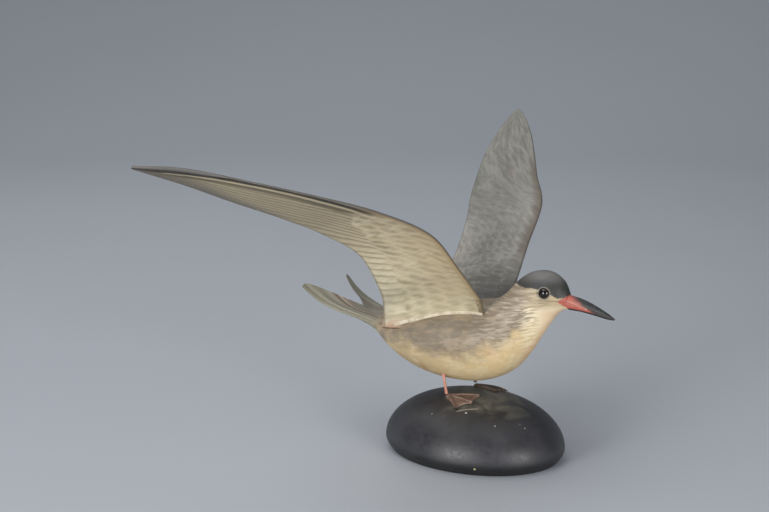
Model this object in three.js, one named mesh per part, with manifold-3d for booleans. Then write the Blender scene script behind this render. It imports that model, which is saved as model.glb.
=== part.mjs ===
// A life-size carved and painted tern: it stands on an oval pebble-like base with both wings raised.
// Units are millimetres. +Z is up, +X is the way the bird faces, and +Y is the bird's left.
// The origin is on the base's flat underside, a millimetre ahead of its middle.
import * as THREE from "three";
import { mergeVertices } from "three/addons/utils/BufferGeometryUtils.js";
import Module from "manifold-3d";

const wasm = await Module();
wasm.setup();

// Driving dimensions
const JOINT_GAP = 0.3; // between pieces that are glued together or rest on each other
const WELD = 1e-4; // points closer than this are one point
const BASE = { front: 86.5, rear: 88.5, half: 69, height: 57, widestHeight: 11, footShare: 0.93 };
const DOME = { inwards: 0.9, upwards: 1.06 }; // powers of cosine and sine: a little fuller than an ellipse
const BASE_RINGS = { sides: 44, low: 3, dome: 12, topShare: 0.02 };
const EYE = { x: 74.6, surfaceY: 14.7, z: 162.2, radius: 5, proud: 2.5, around: 16, down: 10 };
const LEG = { radius: 1.6, topZ: 78, footZ: 40, leanBack: 5.5, leanOut: 2.8, sides: 12 };
const HEELS = { left: [-10, 21], right: [-16, -20.5] }; // where each foot's heel stands on the base

// A foot's heel pad, web and toes; each toe's turn in degrees is outwards from straight ahead
const FOOT = { heel: 3.4, web: 1.3, toe: 2.6, toeHalf: 1.7, tipHalf: 0.8, webShare: 0.74 };
const HEEL_ARC = [135, 252]; // the heel pad's rounded back, in degrees from straight ahead
const TOES = [
  { turn: 46, length: 27.5 },
  { turn: 11, length: 30.5 },
  { turn: -21, length: 31 },
];

// Ribs of the body from the tail's root to the face: the back's and the belly's points on the bird's
// own plane [x, z], half the width there, and how far up the rib its widest line runs
const BODY_RIBS = [
  { top: [-99, 119], bottom: [-101, 101.5], half: 19, waist: 0.55 },
  { top: [-84, 126], bottom: [-88, 88], half: 23.5, waist: 0.55 },
  { top: [-55, 134], bottom: [-58, 73.5], half: 32, waist: 0.52 },
  { top: [-22, 142], bottom: [-22, 67.8], half: 36.5, waist: 0.5 },
  { top: [6, 146], bottom: [12, 71], half: 36, waist: 0.49 },
  { top: [23, 149.5], bottom: [38.5, 83.5], half: 30.5, waist: 0.48 },
  { top: [34, 158], bottom: [56, 103], half: 22.5, waist: 0.5 },
  { top: [44, 169], bottom: [66.5, 119.5], half: 18, waist: 0.55 },
  { top: [57, 177.5], bottom: [76, 134], half: 16.4, waist: 0.58 },
  { top: [73, 179.5], bottom: [82, 142], half: 14.8, waist: 0.56 },
  { top: [85, 173.5], bottom: [87, 146], half: 11, waist: 0.5 },
  { top: [92, 163], bottom: [91, 149], half: 5.6, waist: 0.5 },
];
const BODY_STATIONS = 36;
const BODY_SIDES = 28;

// Ribs of the bill, from inside the head to its point
const BILL_RIBS = [
  { top: [78, 161], bottom: [78, 148], half: 5.6, waist: 0.5 },
  { top: [93, 160.3], bottom: [91, 147.2], half: 5, waist: 0.5 },
  { top: [107.5, 157.4], bottom: [105, 146.6], half: 4, waist: 0.5 },
  { top: [120, 152.7], bottom: [119, 144.6], half: 2.8, waist: 0.5 },
  { top: [130, 147.8], bottom: [130, 142.9], half: 1.6, waist: 0.5 },
  { top: [135.5, 144.4], bottom: [135.5, 143], half: 0.5, waist: 0.5 },
];
const BILL_STATIONS = 12;
const BILL_SIDES = 12;

// The forked tail's rear edge from the notch to the tip of the left prong, at even turns round the
// body's last rib
const TAIL_EDGE = [
  [-124.5, 0, 122.6],
  [-137, 10, 129.2],
  [-152.6, 18.8, 136.3],
  [-169.2, 34.3, 144.2],
  [-169.6, 40, 141.9],
];

// Between that rib and the edge the tail's sides dip and bulge, the body's thickness fades by a power,
// the edge keeps a thickness with some fullness before it, and the left prong lies lower by a share
const TAIL = { stations: 9, dip: 5.2, bulge: 0.3, fading: 2.4, edge: 1.3, fullness: 1.2, lean: 0.045 };

// The wing's two edges from its root to its tip, as the left wing has them
const LEADING_EDGE = [
  [22, 30, 151],
  [20.5, 46, 167],
  [18, 65, 186],
  [13, 104, 221],
  [-12.6, 144, 243],
  [-40, 192, 260],
  [-68, 239, 275],
  [-99, 284, 288.5],
  [-121, 315.5, 292],
];
const TRAILING_EDGE = [
  [-89, 20, 107],
  [-80, 34, 134],
  [-66, 63, 158.5],
  [-66.4, 94.6, 195],
  [-80, 129, 217],
  [-94.3, 169, 235.3],
  [-108.7, 213, 253],
  [-119, 261.5, 272.4],
  [-126.5, 310.5, 289.6],
];

// The wing's greatest thickness over that of its edges, and how high it arches as a share of its width,
// evenly from root to tip
const WING_SECTIONS = [
  { thick: 6.1, camber: 0.05 },
  { thick: 5.8, camber: 0.06 },
  { thick: 4.8, camber: 0.045 },
  { thick: 3.3, camber: 0.02 },
  { thick: 1.3, camber: 0.005 },
];
const WING_STATIONS = 26;
const WING_EDGE = 1; // thickness of both edges
const WING_SUNK = 16; // how far the root runs on into the body before it is trimmed to it

// The outermost flight feather is carved under the hand as a rounded bead between two grooves:
// the grooves and the bead as shares of the wing's width, and their depths as shares of its thickness
const BEAD_DEPTHS = [[0.01, 0], [0.04, -0.2], [0.09, 0.14], [0.15, -0.28], [0.32, 0]];
const BEAD = { start: 0.5, full: 0.55, end: 0.96 };
const UPPER_SHARES = [0, 0.02, 0.07, 0.15, 0.28, 0.45, 0.65, 0.84, 1];
const LOWER_SHARES = [0, 0.01, 0.04, 0.065, 0.09, 0.12, 0.15, 0.22, 0.32, 0.5, 0.68, 0.85, 1];

// A smooth line through the named points, as a function of a share from 0 to 1
function smoothLine(points) {
  const curve = new THREE.CatmullRomCurve3(points.map((p) => new THREE.Vector3(...p)), false, "centripetal");
  return (share) => curve.getPoint(share);
}

// A smooth run of values spread evenly over shares from 0 to 1
function smoothValue(values) {
  const line = smoothLine(values.map((value, i) => [i, value, 0]));
  return (share) => line(share).y;
}

// A value read off straight stretches between [share, value] pairs
function brokenLine(pairs, share) {
  if (share <= pairs[0][0]) return pairs[0][1];
  for (let i = 1; i < pairs.length; i++) {
    const [[from, start], [to, end]] = [pairs[i - 1], pairs[i]];
    if (share <= to) return THREE.MathUtils.mapLinear(share, from, to, start, end);
  }
  return pairs[pairs.length - 1][1];
}

// A bump over shares from 0 to 1 that rises at once and is 1 high at a third of the way
const earlyBump = (share) => (27 / 4) * share * (1 - share) ** 2;

// A bump over shares from 0 to 1 that is 1 high half way
const evenBump = (share) => 4 * share * (1 - share);

// The closed geometry of rings of points, all of one length: each end is closed by a flat fan, but the
// first by a strip between the upper and the lower points where the rings start on a thin edge
function loft(rings, startsThin = false) {
  const sides = rings[0].length;
  const positions = rings.flat().flatMap((p) => [p.x, p.y, p.z]);
  const faces = [];
  for (let i = 0; i + 1 < rings.length; i++) {
    for (let j = 0; j < sides; j++) {
      const a = i * sides + j;
      const b = i * sides + ((j + 1) % sides);
      faces.push(a, b, b + sides, a, b + sides, a + sides);
    }
  }
  const closeByFan = (ring, turned) => {
    const middle = positions.length / 3;
    const centre = new THREE.Vector3();
    rings[ring].forEach((p) => centre.addScaledVector(p, 1 / sides));
    positions.push(centre.x, centre.y, centre.z);
    for (let j = 0; j < sides; j++) {
      const a = ring * sides + j;
      const b = ring * sides + ((j + 1) % sides);
      faces.push(...(turned ? [middle, b, a] : [middle, a, b]));
    }
  };
  const closeByStrip = () => {
    const quarter = sides / 4;
    for (let j = -quarter; j < quarter; j++) {
      const [a, b] = [(j + sides) % sides, (j + 1 + sides) % sides];
      const [c, d] = [underneath(j + 1, sides), underneath(j, sides)];
      if (b !== c) faces.push(a, c, b);
      if (a !== d) faces.push(a, d, c);
    }
  };
  if (startsThin) closeByStrip();
  else closeByFan(0, true);
  closeByFan(rings.length - 1, false);
  const geometry = new THREE.BufferGeometry();
  geometry.setAttribute("position", new THREE.Float32BufferAttribute(positions, 3));
  geometry.setIndex(faces);
  return geometry;
}

// The point of a ring that lies right below, or above, another one, where point 0 is at the top
const underneath = (j, sides) => (sides / 2 - j + sides) % sides;

// A closed geometry as a solid, turned right way out
function solidOf(geometry) {
  const bare = new THREE.BufferGeometry();
  const plain = geometry.index ? geometry.toNonIndexed() : geometry;
  bare.setAttribute("position", plain.getAttribute("position"));
  const merged = mergeVertices(bare, WELD);
  const triVerts = new Uint32Array(merged.index.array);
  const vertProperties = merged.attributes.position.array;
  const solid = new wasm.Manifold(new wasm.Mesh({ numProp: 3, vertProperties, triVerts }));
  if (solid.volume() > 0) return solid;
  for (let i = 0; i < triVerts.length; i += 3) {
    [triVerts[i], triVerts[i + 1]] = [triVerts[i + 1], triVerts[i]];
  }
  return new wasm.Manifold(new wasm.Mesh({ numProp: 3, vertProperties, triVerts }));
}

function geometryOf(solid) {
  const mesh = solid.getMesh();
  const geometry = new THREE.BufferGeometry();
  geometry.setAttribute("position", new THREE.Float32BufferAttribute([...mesh.vertProperties], 3));
  geometry.setIndex([...mesh.triVerts]);
  geometry.computeVertexNormals();
  return geometry;
}

// Rounded rings through ribs that stand on the bird's own plane, grown outwards by a gap
function ribRings(ribs, stations, sides, grow) {
  const top = smoothLine(ribs.map((rib) => [rib.top[0], 0, rib.top[1]]));
  const bottom = smoothLine(ribs.map((rib) => [rib.bottom[0], 0, rib.bottom[1]]));
  const half = smoothValue(ribs.map((rib) => rib.half));
  const waist = smoothValue(ribs.map((rib) => rib.waist));
  const rings = [];
  for (let i = 0; i < stations; i++) {
    const share = i / (stations - 1);
    const low = bottom(share);
    const upright = top(share).sub(low);
    const tall = upright.length();
    upright.normalize();
    const middle = low.clone().addScaledVector(upright, tall * waist(share));
    const ring = [];
    for (let j = 0; j < sides; j++) {
      const turn = (2 * Math.PI * j) / sides;
      const reach = tall * (Math.cos(turn) > 0 ? 1 - waist(share) : waist(share)) + grow;
      const point = middle.clone().addScaledVector(upright, reach * Math.cos(turn));
      point.y = (half(share) + grow) * Math.sin(turn);
      ring.push(point);
    }
    rings.push(ring);
  }
  return rings;
}

// A ring of the forked tail at a share of the way from the body's last rib to the rear edge
function tailRing(root, share) {
  const rearEdge = smoothLine(TAIL_EDGE);
  return root.map((point, j) => {
    const turn = (2 * Math.PI * j) / root.length;
    const across = Math.sin(turn);
    const middle = point.clone().add(root[underneath(j, root.length)]).divideScalar(2);
    const half = point.clone().sub(middle).multiplyScalar((1 - share) ** TAIL.fading);
    const end = rearEdge(Math.abs(Math.asin(across)) / (Math.PI / 2));
    end.y *= Math.sign(across);
    middle.lerp(end, share);
    middle.y += TAIL.bulge * across * evenBump(share);
    middle.z -= TAIL.dip * Math.abs(across) * earlyBump(1 - share) + TAIL.lean * share * middle.y;
    const thick = TAIL.edge * share + TAIL.fullness * evenBump(share);
    const face = underneath(j, root.length) === j ? 0 : Math.sign(Math.cos(turn));
    return middle.add(half).add(new THREE.Vector3(0, 0, (face * thick) / 2));
  });
}

// The bird's body, head, bill and tail, carved as one, grown outwards by a gap ahead of the tail
function bodySolid(grow) {
  const ribs = ribRings(BODY_RIBS, BODY_STATIONS, BODY_SIDES, grow);
  const tail = [];
  for (let i = TAIL.stations; i > 0; i--) tail.push(tailRing(ribs[0], i / TAIL.stations));
  return solidOf(loft([...tail, ...ribs], true))
    .add(solidOf(loft(ribRings(BILL_RIBS, BILL_STATIONS, BILL_SIDES, grow))));
}

// Half the thickness of a section with a round front at a share of its width: it is half of the
// greatest thickness at a third of the width
const sectionHalf = (share) => (Math.sqrt(27) / 4) * Math.sqrt(share) * (1 - share);

// How far the bead and grooves stand off the underside at a share of the width and of the length
function beadHeight(widthShare, lengthShare) {
  const risen = THREE.MathUtils.smoothstep(lengthShare, BEAD.start, BEAD.full);
  const faded = 1 - THREE.MathUtils.smoothstep(lengthShare, BEAD.full, BEAD.end) ** 4;
  return brokenLine(BEAD_DEPTHS, widthShare) * risen * faded;
}

function wingSolid(side) {
  const leading = smoothLine(LEADING_EDGE);
  const trailing = smoothLine(TRAILING_EDGE);
  const thickness = smoothValue(WING_SECTIONS.map((section) => section.thick));
  const camber = smoothValue(WING_SECTIONS.map((section) => section.camber));
  const nudge = 0.02; // how far either way the wing's direction is read
  const rings = [];
  for (let i = -1; i < WING_STATIONS; i++) {
    const share = Math.max(0, i) / (WING_STATIONS - 1);
    const [on, off] = [Math.min(1, share + nudge), Math.max(0, share - nudge)];
    const along = leading(on).add(trailing(on)).sub(leading(off)).sub(trailing(off)).normalize();
    const front = leading(share).addScaledVector(along, i < 0 ? -WING_SUNK : 0);
    const chord = trailing(share).addScaledVector(along, i < 0 ? -WING_SUNK : 0).sub(front);
    const upper = along.cross(chord).normalize();
    const thick = thickness(share);
    const place = (widthShare, face) => {
      const arch = earlyBump(widthShare) * camber(share) * chord.length();
      const relief = face < 0 ? beadHeight(widthShare, share) * thick : 0;
      const half = thick * sectionHalf(widthShare) + WING_EDGE / 2 + relief;
      const point = front.clone().addScaledVector(chord, widthShare);
      point.addScaledVector(upper, arch + face * half);
      point.y *= side;
      return point;
    };
    const over = UPPER_SHARES.map((widthShare) => place(widthShare, 1));
    const under = LOWER_SHARES.map((widthShare) => place(widthShare, -1)).reverse();
    rings.push([...over, ...under]);
  }
  return solidOf(loft(rings)).subtract(bodySolid(JOINT_GAP));
}

// The pebble-like base, grown outwards by a gap: its edge curls in to a flat foot, and a dome closes it
function baseSolid(grow) {
  const ring = (share, z) => {
    const points = [];
    for (let j = 0; j < BASE_RINGS.sides; j++) {
      const turn = (2 * Math.PI * j) / BASE_RINGS.sides;
      const reach = share * ((Math.cos(turn) > 0 ? BASE.front : BASE.rear) + grow);
      points.push(new THREE.Vector3(reach * Math.cos(turn), share * (BASE.half + grow) * Math.sin(turn), z));
    }
    return points;
  };
  const rings = [];
  for (let i = 0; i < BASE_RINGS.low; i++) {
    const lift = i / BASE_RINGS.low;
    const share = BASE.footShare + (1 - BASE.footShare) * Math.sin((lift * Math.PI) / 2);
    rings.push(ring(share, BASE.widestHeight * lift - grow));
  }
  const domeHeight = BASE.height - BASE.widestHeight + grow;
  for (let i = 0; i < BASE_RINGS.dome; i++) {
    const climb = (i / BASE_RINGS.dome) * (Math.PI / 2);
    const z = BASE.widestHeight + domeHeight * Math.sin(climb) ** DOME.upwards;
    rings.push(ring(Math.cos(climb) ** DOME.inwards, z));
  }
  rings.push(ring(BASE_RINGS.topShare, BASE.height + grow));
  return solidOf(loft(rings));
}

// An upright prism over a flat outline drawn around a foot's heel
function footPrism(outline, side, heel) {
  const low = BASE.height / 3;
  const tall = BASE.height;
  const prism = new THREE.ExtrudeGeometry(outline, { depth: tall, bevelEnabled: false, curveSegments: 4 });
  if (side < 0) prism.rotateX(Math.PI).translate(0, 0, tall);
  prism.translate(heel[0], heel[1], low);
  return solidOf(prism);
}

// A webbed foot with three toes that lies on the base and follows its curve
function footSolid(side, heel) {
  const radians = THREE.MathUtils.degToRad;
  const toePoint = (toe, ahead, aside) => {
    const turn = radians(toe.turn);
    return [ahead * Math.cos(turn) - aside * Math.sin(turn), ahead * Math.sin(turn) + aside * Math.cos(turn)];
  };
  const web = new THREE.Shape();
  web.absarc(0, 0, FOOT.heel, radians(HEEL_ARC[0]), radians(HEEL_ARC[1]));
  [...TOES].reverse().forEach((toe, i, toes) => {
    if (i > 0) {
      const between = { turn: (toe.turn + toes[i - 1].turn) / 2 };
      const hollow = toePoint(between, toe.length * FOOT.webShare, 0);
      web.quadraticCurveTo(...hollow, ...toePoint(toe, toe.length, 0));
    } else {
      web.lineTo(...toePoint(toe, toe.length, 0));
    }
  });
  web.closePath();
  const shell = (thick) => baseSolid(JOINT_GAP + thick).subtract(baseSolid(JOINT_GAP));
  const toeShell = shell(FOOT.toe);
  let foot = footPrism(web, side, heel).intersect(shell(FOOT.web));
  for (const toe of TOES) {
    const strip = new THREE.Shape();
    strip.moveTo(...toePoint(toe, -FOOT.heel / 2, FOOT.toeHalf));
    strip.lineTo(...toePoint(toe, -FOOT.heel / 2, -FOOT.toeHalf));
    strip.lineTo(...toePoint(toe, toe.length, -FOOT.tipHalf));
    strip.lineTo(...toePoint(toe, toe.length, FOOT.tipHalf));
    strip.closePath();
    foot = foot.add(footPrism(strip, side, heel).intersect(toeShell));
  }
  return foot;
}

function legSolid(side, heel) {
  const top = new THREE.Vector3(heel[0] - LEG.leanBack, heel[1] + side * LEG.leanOut, LEG.topZ);
  const foot = new THREE.Vector3(heel[0], heel[1], LEG.footZ);
  const along = top.clone().sub(foot);
  const upwards = new THREE.Vector3(0, 1, 0);
  const geometry = new THREE.CylinderGeometry(LEG.radius, LEG.radius, along.length(), LEG.sides);
  geometry.applyQuaternion(new THREE.Quaternion().setFromUnitVectors(upwards, along.clone().normalize()));
  geometry.translate(...foot.addScaledVector(along, 0.5));
  return solidOf(geometry)
    .subtract(bodySolid(JOINT_GAP))
    .subtract(baseSolid(FOOT.toe + 2 * JOINT_GAP));
}

function eyeGeometry(side, grow) {
  const geometry = new THREE.SphereGeometry(EYE.radius + grow, EYE.around, EYE.down);
  geometry.translate(EYE.x, side * (EYE.surfaceY + EYE.proud - EYE.radius), EYE.z);
  return geometry;
}

// The body with a socket for each glass eye
function bodyWithSockets() {
  return bodySolid(0)
    .subtract(solidOf(eyeGeometry(1, JOINT_GAP)))
    .subtract(solidOf(eyeGeometry(-1, JOINT_GAP)));
}

const bird = new THREE.Group();

function addMesh(name, geometry, color, roughness) {
  const mesh = new THREE.Mesh(geometry, new THREE.MeshStandardMaterial({ color, roughness, metalness: 0 }));
  mesh.name = name;
  bird.add(mesh);
}

addMesh("base", geometryOf(baseSolid(0)), 0x36363a, 0.5);
addMesh("body", geometryOf(bodyWithSockets()), 0xb8a888, 0.6);
for (const [side, name] of [[1, "left"], [-1, "right"]]) {
  addMesh(`wing_${name}`, geometryOf(wingSolid(side)), 0x9a9484, 0.6);
  addMesh(`eye_${name}`, eyeGeometry(side, 0), 0x1c120c, 0.1);
  addMesh(`leg_${name}`, geometryOf(legSolid(side, HEELS[name])), 0xc87a64, 0.5);
  addMesh(`foot_${name}`, geometryOf(footSolid(side, HEELS[name])), 0x7a5248, 0.5);
}

export default bird;
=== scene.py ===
# A life-size carved and painted tern that stands on a pebble-shaped base with both wings raised.
# Carved sizes are in millimetres and become metres through MM; +Z is up, +X is the way the bird
# faces and +Y is its left.
import math

import bmesh
import bpy
import numpy as np
from mathutils import Matrix, Vector
from mathutils.bvhtree import BVHTree


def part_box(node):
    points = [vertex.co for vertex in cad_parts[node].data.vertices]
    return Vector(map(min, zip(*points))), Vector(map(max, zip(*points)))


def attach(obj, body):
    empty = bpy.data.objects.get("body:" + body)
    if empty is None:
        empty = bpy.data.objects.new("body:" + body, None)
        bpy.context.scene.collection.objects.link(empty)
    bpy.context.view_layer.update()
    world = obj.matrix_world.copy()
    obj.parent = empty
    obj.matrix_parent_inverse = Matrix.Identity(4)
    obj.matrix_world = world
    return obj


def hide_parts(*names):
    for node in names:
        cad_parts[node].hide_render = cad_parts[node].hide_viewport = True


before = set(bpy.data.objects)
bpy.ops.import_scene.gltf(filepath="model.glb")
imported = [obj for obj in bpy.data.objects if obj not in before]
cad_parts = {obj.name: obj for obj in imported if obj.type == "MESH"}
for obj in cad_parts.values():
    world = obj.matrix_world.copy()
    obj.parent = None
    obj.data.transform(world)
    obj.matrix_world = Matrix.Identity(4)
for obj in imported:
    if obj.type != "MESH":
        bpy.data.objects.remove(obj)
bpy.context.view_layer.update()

bl_info = {
    "name": "Carved Tern",
    "version": (1, 0, 0),
    "blender": (4, 5, 0),
    "location": "View3D > Sidebar > Carved Tern",
    "description": "Builds a carved and painted tern with raised wings on its base",
    "category": "Add Mesh",
}

MM = 0.001
BUMP_STRENGTH = 0.6
BASE_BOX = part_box("base")
EYE_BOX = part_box("eye_left")
SIDES = {"left": 1, "right": -1}

# Ribs of the body from the tail's root to the face: back point (x, z), belly point (x, z), half the
# width, and how far up the rib its widest line runs
BODY_RIBS = [
    ((-99, 119), (-101, 101.5), 19, 0.55),
    ((-84, 126), (-88, 88), 23.5, 0.55),
    ((-55, 134), (-58, 73.5), 32, 0.52),
    ((-22, 142), (-22, 67.8), 36.5, 0.5),
    ((6, 146), (12, 71), 36, 0.49),
    ((23, 149.5), (38.5, 83.5), 30.5, 0.48),
    ((34, 158), (56, 103), 22.5, 0.5),
    ((44, 169), (66.5, 119.5), 18, 0.55),
    ((57, 177.5), (76, 134), 16.4, 0.58),
    ((73, 179.5), (82, 142), 14.8, 0.56),
    ((85, 173.5), (87, 146), 11, 0.5),
    ((92, 163), (91, 149), 5.6, 0.5),
]
BILL_RIBS = [
    ((78, 161), (78, 148), 5.6, 0.5),
    ((93, 160.3), (91, 147.2), 5, 0.5),
    ((107.5, 157.4), (105, 146.6), 4, 0.5),
    ((120, 152.7), (119, 144.6), 2.8, 0.5),
    ((130, 147.8), (130, 142.9), 1.6, 0.5),
    ((135.5, 144.4), (135.5, 143), 0.5, 0.5),
]

# Where the bill's part of the "Run" map starts, and the places along the bird of its two ends
BILL_RUN = 400
BILL_ENDS = (78, 136)

# The forked tail's rear edge from its notch to the tip of the left prong
TAIL_EDGE = [
    (-124.5, 0, 122.6), (-137, 10, 129.2), (-152.6, 18.8, 136.3), (-169.2, 34.3, 144.2),
    (-169.6, 40, 141.9),
]
TAIL = {"dip": 5.2, "bulge": 0.3, "fading": 2.4, "edge": 1.3, "fullness": 1.2, "lean": 0.045}

# The left wing's two edges from root to tip, and its thickness and arch evenly along it
LEADING_EDGE = [
    (22, 30, 151), (20.5, 46, 167), (18, 65, 186), (13, 104, 221), (-12.6, 144, 243),
    (-40, 192, 260), (-68, 239, 275), (-99, 284, 288.5), (-121, 315.5, 292),
]
TRAILING_EDGE = [
    (-89, 20, 107), (-80, 34, 134), (-66, 63, 158.5), (-66.4, 94.6, 195), (-80, 129, 217),
    (-94.3, 169, 235.3), (-108.7, 213, 253), (-119, 261.5, 272.4), (-126.5, 310.5, 289.6),
]
WING_THICKNESS = [6.1, 5.8, 4.8, 3.3, 1.3]
WING_ARCH = [0.05, 0.06, 0.045, 0.02, 0.005]
WING_EDGE = 1.0
WING_NUDGE = 0.02
ROOT_GAP = 0.15
ROOT_REACH = 16.0

# The outermost flight feather's bead and grooves under the hand: share of the width, then height
BEAD_DEPTHS = [(0.01, 0), (0.04, -0.2), (0.09, 0.14), (0.15, -0.28), (0.32, 0)]
BEAD_MIDDLE = 0.09
BEAD_RUN = {"start": 0.5, "full": 0.55, "end": 0.96}

# Flight feathers: how many lie inside a feather line, where its root lies across and along the wing,
# and where along the wing it would meet the trailing edge
FEATHER_LINES = [
    (0, 0.76, 0.0, 0.0), (1, 0.76, 0.067, 0.09), (2, 0.76, 0.143, 0.165), (3, 0.76, 0.197, 0.218),
    (4, 0.76, 0.233, 0.255), (5, 0.76, 0.263, 0.284), (6, 0.76, 0.287, 0.308), (7, 0.755, 0.307, 0.33),
    (8, 0.75, 0.327, 0.352), (9, 0.74, 0.346, 0.376), (10, 0.73, 0.363, 0.402), (11, 0.71, 0.385, 0.455),
    (12, 0.69, 0.405, 0.525), (13, 0.67, 0.425, 0.62), (14.5, 0.61, 0.45, 0.78), (16, 0.55, 0.48, 0.985),
    (18, 0.45, 0.50, 1.35), (20, 0.30, 0.53, 2.08), (21.5, 0.18, 0.54, 3.0),
]

# Where the light rib under the hand runs, as (share of the length, share of the width)
RIB_LINE = [
    (0.5, 0.165), (0.55, 0.145), (0.6, 0.12), (0.65, 0.104), (0.7, 0.1), (0.75, 0.115),
    (0.8, 0.165), (0.85, 0.262), (0.9, 0.36), (1.0, 0.53),
]

# Where the grey front of the underside ends on the hand, as (share of the length, share of the width)
FRONT_LINE = [
    (0.5, 0.03), (0.58, 0.008), (0.64, -0.01), (0.76, -0.01), (0.82, 0.05), (0.86, 0.1),
    (0.92, 0.11), (1.0, 0.12),
]

# How far the upper side's strokes swing back towards the tip, as (share of the length, swing)
HAND_SWING = [
    (0.3, 0.9), (0.45, 1.35), (0.55, 1.6), (0.7, 1.88), (0.85, 2.03), (1.0, 2.13),
]

# How many small feathers of the underside lie inside a share of its length
COVERT_COUNT = [
    (-0.02, -0.4), (0.1, 1.9), (0.2, 4.0), (0.26, 5.6), (0.32, 8.0), (0.38, 10.4), (0.43, 11.9),
    (0.55, 14.6),
]

# Where the body's colours meet, as (x, z): the cap's lower edge and the cream's upper edge along the
# bird, then the gape, and the bill's mouth line, dark upper and lower edges and pale ridge
CAP_EDGE = [
    (36, 167.6), (42, 166.8), (48, 166), (54, 165.2), (69, 165.2), (75, 163.2), (81, 161.2),
    (88.7, 158.4), (93, 160),
]
CREAM_EDGE = [
    (-100, 100), (-64, 106), (-34, 98), (-2, 100), (26.5, 111), (50, 125.5), (62, 137), (76, 150),
    (92, 160),
]
GAPE = [(73.5, 154.6), (79, 155.6), (88, 155.2)]
BILL_LINE = [(88, 155), (98, 153.2), (108, 151), (118, 148.2), (128, 145.6)]
CULMEN_EDGE = [
    (86, 163), (90, 161.8), (94, 160), (100, 157), (105, 154), (110, 150.8), (114, 148),
    (118, 144.8), (120, 141),
]
BILL_LOW_EDGE = [
    (88, 148.4), (94, 149.2), (104, 148.6), (112, 147.8), (118, 146.8), (124, 145),
]
BILL_RIDGE = [(90, 156.6), (98, 154.2), (106, 151.6), (112, 149.4)]

# Where the coral begins behind the bill, as (z, x)
BILL_EDGE = [
    (146, 93), (149, 91.8), (151.2, 89.3), (153.2, 87.8), (155.3, 86), (157, 88), (160, 92),
    (164, 94),
]

# The eye's middle and radius, on the left side
EYE_CENTRE = [(EYE_BOX[0][i] + EYE_BOX[1][i]) / 2 / MM for i in range(3)]
EYE_RADIUS = (EYE_BOX[1][2] - EYE_BOX[0][2]) / 2 / MM

# Where the tail's feathers meet, as shares of the way from its middle to its side
TAIL_GROOVES = [0, 0.2, 0.38, 0.54, 0.69, 0.83, 0.94]

# How far across the wing the small feathers reach, as (share of the length, share of the width)
UNDER_COVERTS = [
    (0, 0.76), (0.1, 0.75), (0.33, 0.72), (0.4, 0.7), (0.45, 0.6), (0.5, 0.48), (0.53, 0.2),
    (0.55, -0.05),
]
UPPER_COVERTS = [(0, 0.7), (0.3, 0.66), (0.45, 0.5), (0.55, 0.28), (0.65, 0.1), (0.72, -0.05)]

# Stains on the body: x, z, radius, strength and colour
BODY_STAINS = [
    (-69, 84.5, 8, 0.55, (196, 136, 84)), (-42, 79.7, 7, 0.5, (170, 120, 78)),
    (-19, 72, 6, 0.5, (186, 128, 90)), (30, 104, 16, 0.25, (214, 172, 120)),
    (-88, 104, 6, 0.6, (120, 112, 104)),
]

# The crack under the rear of each wing's joint, as (x, z)
CRACK_LINE = [(-92, 110.6), (-86, 111.3), (-73, 113.2), (-64, 115)]

# Pale specks on the base: place, radius and colour
BASE_SPECKS = [
    (12.1, -39.2, 48.9, 1.3, (196, 192, 184)), (-19.6, -45.9, 44.2, 0.8, (170, 166, 158)),
    (41.9, -39.5, 42.1, 0.9, (168, 164, 156)), (58.3, -22.9, 42.3, 0.7, (172, 168, 160)),
    (63.2, -22.7, 39.4, 0.9, (160, 156, 148)), (34.5, -62.5, 7.2, 1.3, (172, 168, 126)),
]

# Painted highlights in front of each foot: pale lines where a low ridge of filler catches the light, as (x,
# y)
APRON_HIGHLIGHTS = [[(1.6, -41), (10, -35.6), (20.5, -29.9)], [(6, 4.8), (14, 3.7), (22.2, 3.2)]]

# Where each foot's heel stands, each toe's turn outwards in degrees and its length, and the sizes of
# feet, claws, legs and dome; the heel is round from one angle to another, in a number of points
HEELS = {"left": (-10, 21), "right": (-16, -20.5)}
TOES = [(46, 27.5), (11, 30.5), (-21, 31)]
FOOT = {
    "claw": 2.6, "heel": 3.4, "web": 1.3, "toe": 2.6, "half": 1.7, "tip": 0.8, "hollow": 0.74,
    "gap": 0.3,
}
KNUCKLES = {"count": 3, "swell": 0.13, "fall": 0.25}
RIM = {"thin": 0.35, "reach": 0.9}
CREASES = {"pace": 1.9, "depth": 0.06, "fade": (0.5, 2)}
HEEL_ROUND = (135, 252, 24)
SIDE_POINTS = 30
WEB_POINTS = 40
CLAW = {"radius": 0.85, "set_back": 0.5, "buried": 0.6, "droop": 0.6, "stand": 1.0, "aim": 0.1}
LEG = {"radius": 1.6, "top": 78, "foot": 40, "lean_back": 5.5, "lean_out": 2.8}
LEG_WAIST = {"place": 0.45, "slim": 0.82, "wave": 0.02, "waves": 60}
LEG_FIT = {"seek": 8, "clear": 0.35}
DOME = {"widest": 11.0, "foot": 0.93, "inwards": 0.9, "upwards": 1.06}

# The carving round the eyes and along gape, bill and tail: depths, widths and where each one fades
EYELID = {"reach": 5.6, "width": 0.6, "squeeze": 1.08, "beside": (4, 8), "hollow": (4.2, 5.1), "depth": 0.8}
SOCKET_GAP = 0.3
GAPE_CUT = {"depth": 0.4, "width": 0.5}
BILL_CUT = {"width": 0.35, "beside": (0.3, 1.0)}
TAIL_CUT = {"width": 0.018, "fade": (0.12, 0.4)}

# Where a wing's relief fades in and out, as shares of its width and of its length, which part of a
# long feather rises, and how often the search for its number halves its step
RELIEF = {"front": (0.005, 0.05), "rear": (0.97, 1.0), "root": (0.0, 0.03), "tip": (0.93, 0.99)}
COVERT_FADE = (-0.03, 0.01)
FEATHER_RISE = 0.85
FEATHER_HALVINGS = 24

# How the wings' roots are searched for: from which share of the length, how far past the root, steps
ROOT_SEARCH = {"start": 0.1, "past": 22, "steps": 140}

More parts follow.
